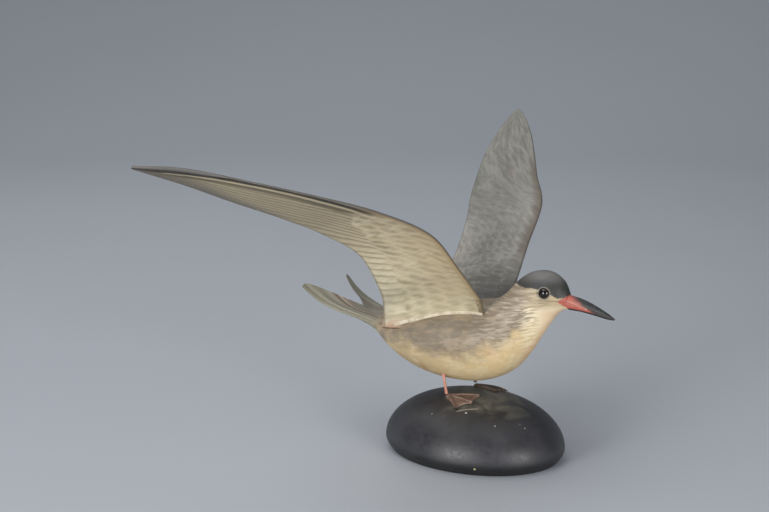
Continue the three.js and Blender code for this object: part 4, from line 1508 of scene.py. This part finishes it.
def wing_under_paint():
    """Buff long feathers, dabbed small ones, and the hand's grey front, groove and rib"""
    mix = Paint("Wing Underside")
    u, v, lay = wing_lay(mix)
    number, cover, _ = mix.laid_out("Feathers")
    across, height = mix.brushed(lay, 0.09, 0.5)
    strokes, _ = mix.brushed(lay + (30, 90, 5), 0.045, 0.2)
    sway = mix.noise(lay, 0.06, 2.0) - 0.5
    sway_across = mix.noise(lay + (50, 20, 9), 0.07, 2.0) - 0.5
    inner = mix.step(v, 0.5, 0.12)
    outer = mix.step(v, 0.5, 0.8)
    # flight feathers: each has a light vane and a soft dark edge under its neighbour, painted as a feather
    # line and as shade in one
    part = mix.apply("FRACT", sway * 0.25 + number)
    edge = mix.band(part, 0.4, 0.9, 1.0, 0.92)
    ground = mix.blend(inner, paint(196, 182, 150), paint(225, 215, 187))
    ground = mix.blend(mix.step(v, 0.36, 0.58), ground, paint(164, 152, 126))
    shade = mix.blend(inner, paint(118, 106, 84), paint(158, 147, 117))
    mix.color = mix.blend(edge * 0.8, ground, shade)
    mix.over(mix.step(u, 0.7, 0.98) * outer, paint(106, 102, 92))
    mix.over(mix.step(u * 0.25 + v, 0.86, 1.06, 0.0, 0.8), paint(92, 89, 82))
    mix.over(mix.step(v, 0.9, 0.98, 0.0, 0.7), paint(80, 76, 71))
    # coverts: soft dabs drawn out across the wing, with light rims between them
    slant = u * -0.17 + (v + 0.06)
    columns = sway * 0.8 + mix.curve(slant, COVERT_COUNT)
    density = 6.0 - mix.band(v, 0.2, 0.32, 0.47, 0.4) * 2.0
    rows = sway_across * 0.6 + u * density
    feathers = mix.group(scale_group(), rows=rows, columns=columns, narrow=0.46)
    cover_ground = mix.blend(inner, paint(192, 177, 145), paint(208, 196, 164))
    dab = feathers["Heart"] * (feathers["Chance"] * 0.5 + 0.45)
    cover_color = mix.blend(dab, cover_ground, mix.blend(inner, paint(124, 110, 87), paint(162, 151, 122)))
    cover_color = mix.blend(mix.step(strokes, 0.55, 0.9) * 0.3, cover_color, paint(218, 206, 178))
    warm = mix.step(u, 0.6, 0.2) * mix.band(v, 0.02, 0.1, 0.5, 0.3)
    cover_color = mix.blend(warm * 0.4, cover_color, paint(182, 158, 120))
    covered = mix.apply("MAXIMUM", mix.step(sway * 0.06 + cover, -0.04, 0.02), inner * 0.5)
    mix.over(covered, cover_color)
    mix.over(mix.step(across, 0.5, 0.15) * 0.2, paint(128, 117, 92))
    # the hand's grey front, then painted light and shade on its carved bead: dark shade in the groove, a
    # highlight along the rib and the shadow below it
    hand = mix.step(u * -0.12 + v, 0.475, 0.52)
    from_rib = u - mix.curve(v, RIB_LINE)
    from_front = u - mix.curve(v, FRONT_LINE)
    # painted shadow below the carved rib
    shadow = mix.band(from_rib, 0.025, 0.05, 0.2, 0.13) * mix.step(v, 0.97, 0.88)
    mix.over(hand * shadow * 0.85, paint(84, 76, 58))
    # painted highlight along the carved rib, where it catches the light
    rib = mix.band(from_rib, -0.045, -0.02, 0.045, 0.025)
    mix.over(hand * rib * mix.step(v, 0.98, 0.9) * 0.75, paint(164, 153, 128))
    # painted shade inside the groove above the rib
    groove_shade = mix.step(from_front, -0.014, 0.004) * mix.step(from_rib, -0.022, -0.045)
    mix.over(hand * groove_shade, paint(36, 30, 24))
    mix.over(hand * mix.step(from_front, 0.004, -0.014), paint(106, 103, 99))
    # the arm's ochre edge, the chipped root and the dark rims
    wavy = sway * 0.05 + u
    arm = mix.step(wavy, 0.09, 0.01) * mix.step(v, 0.56, 0.5)
    mix.over(arm * 0.6, paint(146, 118, 80))
    line = mix.step(u, 0.018, 0.006) * mix.step(v, 0.56, 0.5)
    mix.over(line * 0.7, paint(96, 76, 52))
    torn = mix.noise(mix.place, 0.3, 4.0) - 0.5
    chipped = mix.step(torn * 0.12 + u, 0.055, 0.03) * mix.step(torn * 0.07 + v, 0.03, 0.01)
    mix.over(chipped * 0.75, paint(88, 78, 56))
    stain = mix.step(wavy, 0.74, 0.84) * mix.step(v, 0.055, 0.03)
    mix.over(stain * 0.7, paint(198, 160, 134))
    rear = mix.apply("MAXIMUM", mix.step(u, 0.965, 0.995), hand * mix.step(u, 0.9, 0.98))
    mix.over(rear * 0.6, paint(90, 86, 75))
    mix.aged(paint(150, 130, 94), 0.2, 0.01, 0.2, paint(212, 204, 182))
    rough = across * 0.1 + 0.48
    level = height * 0.8 + edge * -0.5
    return mix.coat(rough, level, 0.16)


def wing_over_paint():
    """Grey strokes across the arm and along the hand, with pale scallops near the body"""
    mix = Paint("Wing Upper Side")
    u, v, lay = wing_lay(mix)
    number, cover, _ = mix.laid_out("Feathers")
    across, height = mix.brushed(lay, 0.16, 0.5)
    slant = u * -0.17 + v
    flow = mix.join(u * 3.2, slant * 38.0)
    sway = mix.noise(lay, 0.07, 2.0) - 0.5
    sway_across = mix.noise(lay + (50, 20, 9), 0.08, 2.0) - 0.5
    hand = mix.step(v, 0.36, 0.52)
    arm = 1.0 - hand
    # strokes cross the arm; on the hand they swing from its front edge towards the rear one
    swing = mix.apply("LOGARITHM", u + 0.25, math.e) - mix.curve(v, HAND_SWING)
    cloudy = mix.spread(mix.join(v * 14.0, swing * 7.0), 1.0, 3.0, 0.6)
    mottle = mix.spread(flow, 1.0, 3.0, 0.6) * arm + hand * cloudy
    mix.color = mix.blend(mottle, paint(124, 122, 114), paint(158, 156, 146))
    lit = mix.band(v, 0.1, 0.2, 0.45, 0.33)
    mix.over(lit * 0.55, paint(174, 169, 160))
    stroke, _ = mix.brushed(mix.join(u * WING_SIZE["width"], slant * WING_SIZE["length"]), 0.085, 0.34)
    mix.over(mix.step(stroke, 0.5, 0.1) * arm * 0.3, paint(104, 102, 95))
    mix.over(mix.step(stroke, 0.6, 0.95) * arm * 0.3, paint(176, 173, 164))
    rows = sway_across * 1.2 + u * 8.0
    columns = sway * 1.4 + slant * 36.0
    feathers = mix.group(scale_group(), rows=rows, columns=columns, narrow=0.45)
    near_body = mix.step(v, 0.5, 0.18)
    broken = mix.step(mix.noise(lay, 0.12, 3.0), 0.42, 0.6)
    pale = feathers["Rim"] * near_body * broken * (feathers["Chance"] * 0.7 + 0.3)
    mix.over(pale, paint(182, 179, 168))
    mix.over(feathers["Heart"] * near_body * 0.35, paint(104, 101, 95))
    swept = mix.join(v * WING_SIZE["length"], swing * 46.0)
    long_strokes, _ = mix.brushed(swept, 0.035, 0.22)
    mix.over(hand * mix.step(long_strokes, 0.55, 0.95, end=0.35), paint(162, 162, 152))
    mix.over(hand * mix.step(long_strokes, 0.45, 0.05, end=0.35), paint(104, 104, 96))
    part = mix.apply("FRACT", number)
    line = mix.band(part, 0.7, 0.94, 1.0, 0.95)
    flight = mix.step(cover, 0.0, -0.04) * hand
    mix.over(line * flight * 0.2, paint(92, 90, 84))
    # brown tint by the front edge, rubbed patch, slate root, pale tip and dark rims
    wavy = sway * 0.12 + u
    tint = mix.step(wavy, 0.12, 0.02) * mix.band(v, 0.12, 0.24, 0.66, 0.5)
    mix.over(tint * 0.7, paint(106, 94, 81))
    rubbed_u = (u - 0.37) / 0.08
    rubbed_v = (v - 0.53) / 0.035
    rubbed = rubbed_u * rubbed_u + rubbed_v * rubbed_v
    mix.over(mix.step(sway * 2.0 + rubbed, 1.0, 0.2, 0.0, 0.4), paint(154, 140, 126))
    root = mix.step(sway * 0.05 + v, 0.085, 0.0)
    mix.over(root * 0.7, paint(100, 96, 98))
    tip = mix.step(v, 0.92, 1.0)
    mix.over(tip * 0.5, paint(156, 156, 150))
    rims = mix.apply("MAXIMUM", mix.step(u, 0.98, 0.998), mix.step(u, 0.014, 0.002))
    mix.over(rims * 0.6, paint(76, 70, 68))
    mix.aged(paint(128, 116, 94), 0.16, 0.02, 0.24, paint(188, 184, 172))
    rough = across * 0.1 + 0.5
    level = height * 0.8 + line * -0.3
    return mix.coat(rough, level, 0.14)


def plain_paint(name, dark, light, dirt, roughness, depth=0.1):
    """A brushed coat of one colour with darker and lighter places"""
    mix = Paint(name)
    fine, height = mix.brushed(mix.place, 0.6, 0.6)
    cloud = mix.spread(mix.place, 0.16, 3.0, 0.4)
    mix.color = mix.blend(cloud, dark, light)
    mix.over(fine * 0.3, dirt)
    chip = mix.aged(dirt, 0.25, 0.03, 0.5, dirt)
    rough = fine * 0.12 + roughness
    return mix.coat(rough, height - chip, depth)


def eye_glass():
    """A dark brown iris round a black pupil, under a clear coat"""
    mix = Paint("Eye Glass")
    x, _, z = mix.split(mix.place)
    reach = mix.length(x - EYE_CENTRE[0], z - EYE_CENTRE[2])
    flecks = mix.spread(mix.place, 1.2, 3.0)
    iris = mix.blend(flecks, paint(26, 15, 9), paint(48, 29, 18))
    mix.color = mix.blend(mix.step(reach, 3.0, 3.5), paint(1, 1, 1), iris)
    return mix.coat(0.05, flecks, 0.0, 0.4)


# What a user can change

def length_setting(name, description, metres):
    return bpy.props.FloatProperty(
        name=name, description=description, default=metres, subtype="DISTANCE", precision=4)


def color_setting(name, description, red, green, blue):
    return bpy.props.FloatVectorProperty(
        name=name, description=description, default=paint(red, green, blue), size=4, min=0, max=1,
        subtype="COLOR")


def power_setting(name, description, watts):
    return bpy.props.FloatProperty(name=name, description=description, default=watts, unit="POWER")


class BaseSettings(bpy.types.PropertyGroup):
    front: length_setting("Front", "How far the base reaches ahead of its middle", BASE_BOX[1][0])
    rear: length_setting("Rear", "How far the base reaches behind its middle", -BASE_BOX[0][0])
    half_width: length_setting("Half Width", "How far the base reaches to each side", BASE_BOX[1][1])
    height: length_setting("Height", "Height of the dome", BASE_BOX[1][2])
    widest_height: length_setting(
        "Widest Height", "Height at which the base is widest", DOME["widest"] * MM)
    unevenness: length_setting("Unevenness", "How far the hand-worked dome waves", 0.3 * MM)


class BodySettings(bpy.types.PropertyGroup):
    eyelid: length_setting("Eyelid", "Height of the ring carved round each eye", 0.55 * MM)
    tail_grooves: length_setting("Tail Grooves", "Depth of the cuts between the tail feathers", 0.35 * MM)
    bill_line: length_setting("Bill Line", "Depth of the line between the bill's two halves", 0.25 * MM)
    cap: color_setting("Cap", "Slate of the cap", 42, 45, 45)
    bill: color_setting("Bill", "Coral of the bill", 178, 88, 74)


class WingSettings(bpy.types.PropertyGroup):
    feather_relief: length_setting(
        "Feather Relief", "How far a flight feather's edge stands up", 0.16 * MM)
    covert_step: length_setting(
        "Covert Step", "How far the small feathers stand over the long ones", 0.15 * MM)
    filler_width: length_setting(
        "Filler Width", "Width of the filler along each wing's root", 4.4 * MM)
    filler_thickness: length_setting(
        "Filler Thickness", "Thickness of the filler along each wing's root", 1.1 * MM)


class LegSettings(bpy.types.PropertyGroup):
    radius: length_setting("Radius", "Radius of each leg at its ends", LEG["radius"] * MM)
    near: color_setting("Right Leg", "Salmon of the right leg", 190, 132, 112)
    # the left leg's dark brown stands for brown paint darkened by painted shade under the body
    far: color_setting("Left Leg", "Dark brown of the left leg", 70, 54, 42)


class StageSettings(bpy.types.PropertyGroup):
    floor: color_setting("Floor", "Colour of the floor and of the wall it curves up into", 190, 195, 202)
    key: power_setting("Key Light", "Power that the front lights go by", 10)
    fill: power_setting("Top Light", "Power that the lights overhead and behind go by", 18.5)
    air: bpy.props.FloatProperty(
        name="Room Light", description="Strength of the light from all sides", default=0.41)


class TERN_OT_base(bpy.types.Operator):
    """Makes the pebble-shaped base with its worn charcoal paint"""
    bl_idname = "tern.base"
    bl_label = "Base"

    def execute(self, context):
        build_base(context.scene.tern_base, base_paint())
        return {"FINISHED"}


class TERN_OT_body(bpy.types.Operator):
    """Carves body, head, bill and forked tail as one"""
    bl_idname = "tern.body"
    bl_label = "Body"

    def execute(self, context):
        sizes = context.scene.tern_body
        build_body(sizes, body_paint(tuple(sizes.cap), tuple(sizes.bill)))
        return {"FINISHED"}


class TERN_OT_wings(bpy.types.Operator):
    """Carves both raised wings and sets them against the body"""
    bl_idname = "tern.wings"
    bl_label = "Wings"

    def execute(self, context):
        paints = [wing_under_paint(), wing_over_paint()]
        for name, side in SIDES.items():
            build_wing(f"wing_{name}_carving", side, context.scene.tern_wings, paints)
        return {"FINISHED"}


class TERN_OT_root_fillers(bpy.types.Operator):
    """Presses a strip of filler along each wing's joint"""
    bl_idname = "tern.root_fillers"
    bl_label = "Root Fillers"

    def execute(self, context):
        tones = paint(188, 174, 148), paint(226, 216, 194), paint(160, 144, 118)
        material = plain_paint("Root Filler", *tones, 0.6, 0.2)
        for name, side in SIDES.items():
            build_root_filler(f"root_filler_{name}", side, context.scene.tern_wings, material)
        return {"FINISHED"}


class TERN_OT_eyes(bpy.types.Operator):
    """Sets a glass eye in each socket"""
    bl_idname = "tern.eyes"
    bl_label = "Eyes"

    def execute(self, context):
        material = eye_glass()
        for name, side in SIDES.items():
            eye = eye_ball(f"eye_{name}_glass", side, EYE_RADIUS, material)
            dress(eye, "eye_glass", f"eye_{name}")
        return {"FINISHED"}


class TERN_OT_legs(bpy.types.Operator):
    """Makes both thin legs"""
    bl_idname = "tern.legs"
    bl_label = "Legs"

    def execute(self, context):
        sizes = context.scene.tern_legs
        salmon = tuple(sizes.near), paint(208, 152, 132), paint(152, 92, 74)
        # the left leg's browns are brown paint darkened by painted shade under the body
        brown = tuple(sizes.far), paint(88, 70, 56), paint(50, 40, 32)
        near = plain_paint("Salmon Leg Paint", *salmon, 0.4)
        far = plain_paint("Brown Leg Paint With Painted Shade", *brown, 0.45)
        build_leg("leg_right_rod", SIDES["right"], sizes, near)
        build_leg("leg_left_rod", SIDES["left"], sizes, far)
        return {"FINISHED"}


class TERN_OT_feet(bpy.types.Operator):
    """Lays both webbed feet on the base"""
    bl_idname = "tern.feet"
    bl_label = "Feet"

    def execute(self, context):
        rosy = paint(117, 94, 83), paint(150, 122, 107), paint(90, 72, 62)
        # the left foot's browns are brown paint darkened by painted shade under the body
        brown = paint(74, 62, 50), paint(104, 86, 72), paint(56, 48, 40)
        near = plain_paint("Right Foot Paint", *rosy, 0.45)
        far = plain_paint("Left Foot Paint With Painted Shade", *brown, 0.45)
        build_foot("foot_right_web", SIDES["right"], near)
        build_foot("foot_left_web", SIDES["left"], far)
        return {"FINISHED"}


class TERN_OT_claws(bpy.types.Operator):
    """Sets a small dark claw on every toe"""
    bl_idname = "tern.claws"
    bl_label = "Claws"

    def execute(self, context):
        tones = paint(30, 22, 20), paint(48, 34, 30), paint(60, 48, 42)
        build_claws(plain_paint("Claw Paint", *tones, 0.35))
        return {"FINISHED"}


def soft_light(name, place, target, size, power, spread):
    light = bpy.data.lights.new(name, "AREA")
    light.shape = "RECTANGLE"
    light.size, light.size_y = size
    light.energy = power
    light.spread = math.radians(spread)
    lamp = placed(name, light)
    lamp.location = place
    lamp.rotation_euler = (Vector(target) - Vector(place)).to_track_quat("-Z", "Y").to_euler()
    lamp.visible_camera = False


def build_camera():
    turn, tilt = math.radians(CAMERA["turn"]), math.radians(CAMERA["tilt"])
    level = math.cos(tilt)
    back = Vector((math.sin(turn) * level, -math.cos(turn) * level, math.sin(tilt)))
    view = bpy.data.cameras.new("camera")
    view.sensor_width = CAMERA["sensor"]
    view.lens = CAMERA["focal"] * view.sensor_width / CAMERA["width"]
    camera = placed("camera", view)
    camera.location = Vector(CAMERA["target"]) * MM + back * CAMERA["distance"] * MM
    camera.rotation_euler = back.to_track_quat("Z", "Y").to_euler()
    bpy.context.scene.camera = camera


def build_floor(material):
    """A round floor that curves up into a wall, far outside every view's lights"""
    flat, bend, sides = FLOOR["flat"], FLOOR["bend"], FLOOR["sides"]
    profile = [(flat / 2, 0.0), (flat, 0.0)]
    for angle in np.radians(np.linspace(0, 90, FLOOR["bend_steps"]))[1:]:
        profile.append((flat + bend * math.sin(angle), bend * (1 - math.cos(angle))))
    profile.append((flat + bend, bend * FLOOR["wall"]))
    shape = bmesh.new()
    rings = []
    for reach, height in profile:
        rings.append([shape.verts.new((reach * math.cos(a), reach * math.sin(a), height))
                      for a in np.linspace(0, 2 * math.pi, sides, endpoint=False)])
    centre = shape.verts.new((0, 0, 0))
    for j in range(sides):
        after = (j + 1) % sides
        shape.faces.new((centre, rings[0][j], rings[0][after]))
        for low, high in zip(rings, rings[1:]):
            shape.faces.new((low[j], high[j], high[after], low[after]))
    for face in shape.faces:
        face.smooth = True
    mesh = bpy.data.meshes.new("floor")
    shape.to_mesh(mesh)
    shape.free()
    mesh.materials.append(material)
    placed("floor", mesh)


def floor_paint(color):
    mix = Paint("Floor Paint")
    soft = mix.noise(mix.place, 0.002, 2.0)
    mix.color = mix.blend(soft, color, tuple(c * 1.05 for c in color[:3]) + (1.0,))
    return mix.coat(0.55, soft, 0.0)


class TERN_OT_stage(bpy.types.Operator):
    """Sets up the camera, the soft lights and the pale floor"""
    bl_idname = "tern.stage"
    bl_label = "Stage"

    def execute(self, context):
        choice = context.scene.tern_stage
        build_camera()
        build_floor(floor_paint(tuple(choice.floor)))
        for name, (place, target, size, source, share, spread) in LIGHTS.items():
            soft_light(name, place, target, size, getattr(choice, source) * share, spread)
        world = bpy.data.worlds.new("room")
        world.use_nodes = True
        background = world.node_tree.nodes["Background"]
        background.inputs["Color"].default_value = paint(*ROOM_TONE)
        background.inputs["Strength"].default_value = choice.air
        context.scene.world = world
        context.scene.view_settings.view_transform = "Standard"
        return {"FINISHED"}


STEPS = [
    TERN_OT_stage, TERN_OT_base, TERN_OT_body, TERN_OT_wings, TERN_OT_root_fillers,
    TERN_OT_eyes, TERN_OT_legs, TERN_OT_feet, TERN_OT_claws,
]
SETTINGS = {
    "tern_base": BaseSettings, "tern_body": BodySettings, "tern_wings": WingSettings,
    "tern_legs": LegSettings, "tern_stage": StageSettings,
}


class TERN_PT_panel(bpy.types.Panel):
    """The steps that make the carved tern, with what can be changed in each"""
    bl_idname = "TERN_PT_panel"
    bl_label = "Carved Tern"
    bl_space_type = "VIEW_3D"
    bl_region_type = "UI"
    bl_category = "Carved Tern"

    def draw(self, context):
        for name, group in SETTINGS.items():
            box = self.layout.box()
            for title in group.__annotations__:
                box.prop(getattr(context.scene, name), title)
        for step in STEPS:
            self.layout.operator(step.bl_idname)


def register():
    for name, group in SETTINGS.items():
        bpy.utils.register_class(group)
        setattr(bpy.types.Scene, name, bpy.props.PointerProperty(type=group))
    for kind in (*STEPS, TERN_PT_panel):
        bpy.utils.register_class(kind)


def unregister():
    for kind in (TERN_PT_panel, *reversed(STEPS)):
        bpy.utils.unregister_class(kind)
    for name, group in reversed(SETTINGS.items()):
        delattr(bpy.types.Scene, name)
        bpy.utils.unregister_class(group)


def main():
    register()
    for step in STEPS:
        family, action = step.bl_idname.split(".")
        getattr(getattr(bpy.ops, family), action)()


if __name__ == "__main__":
    main()
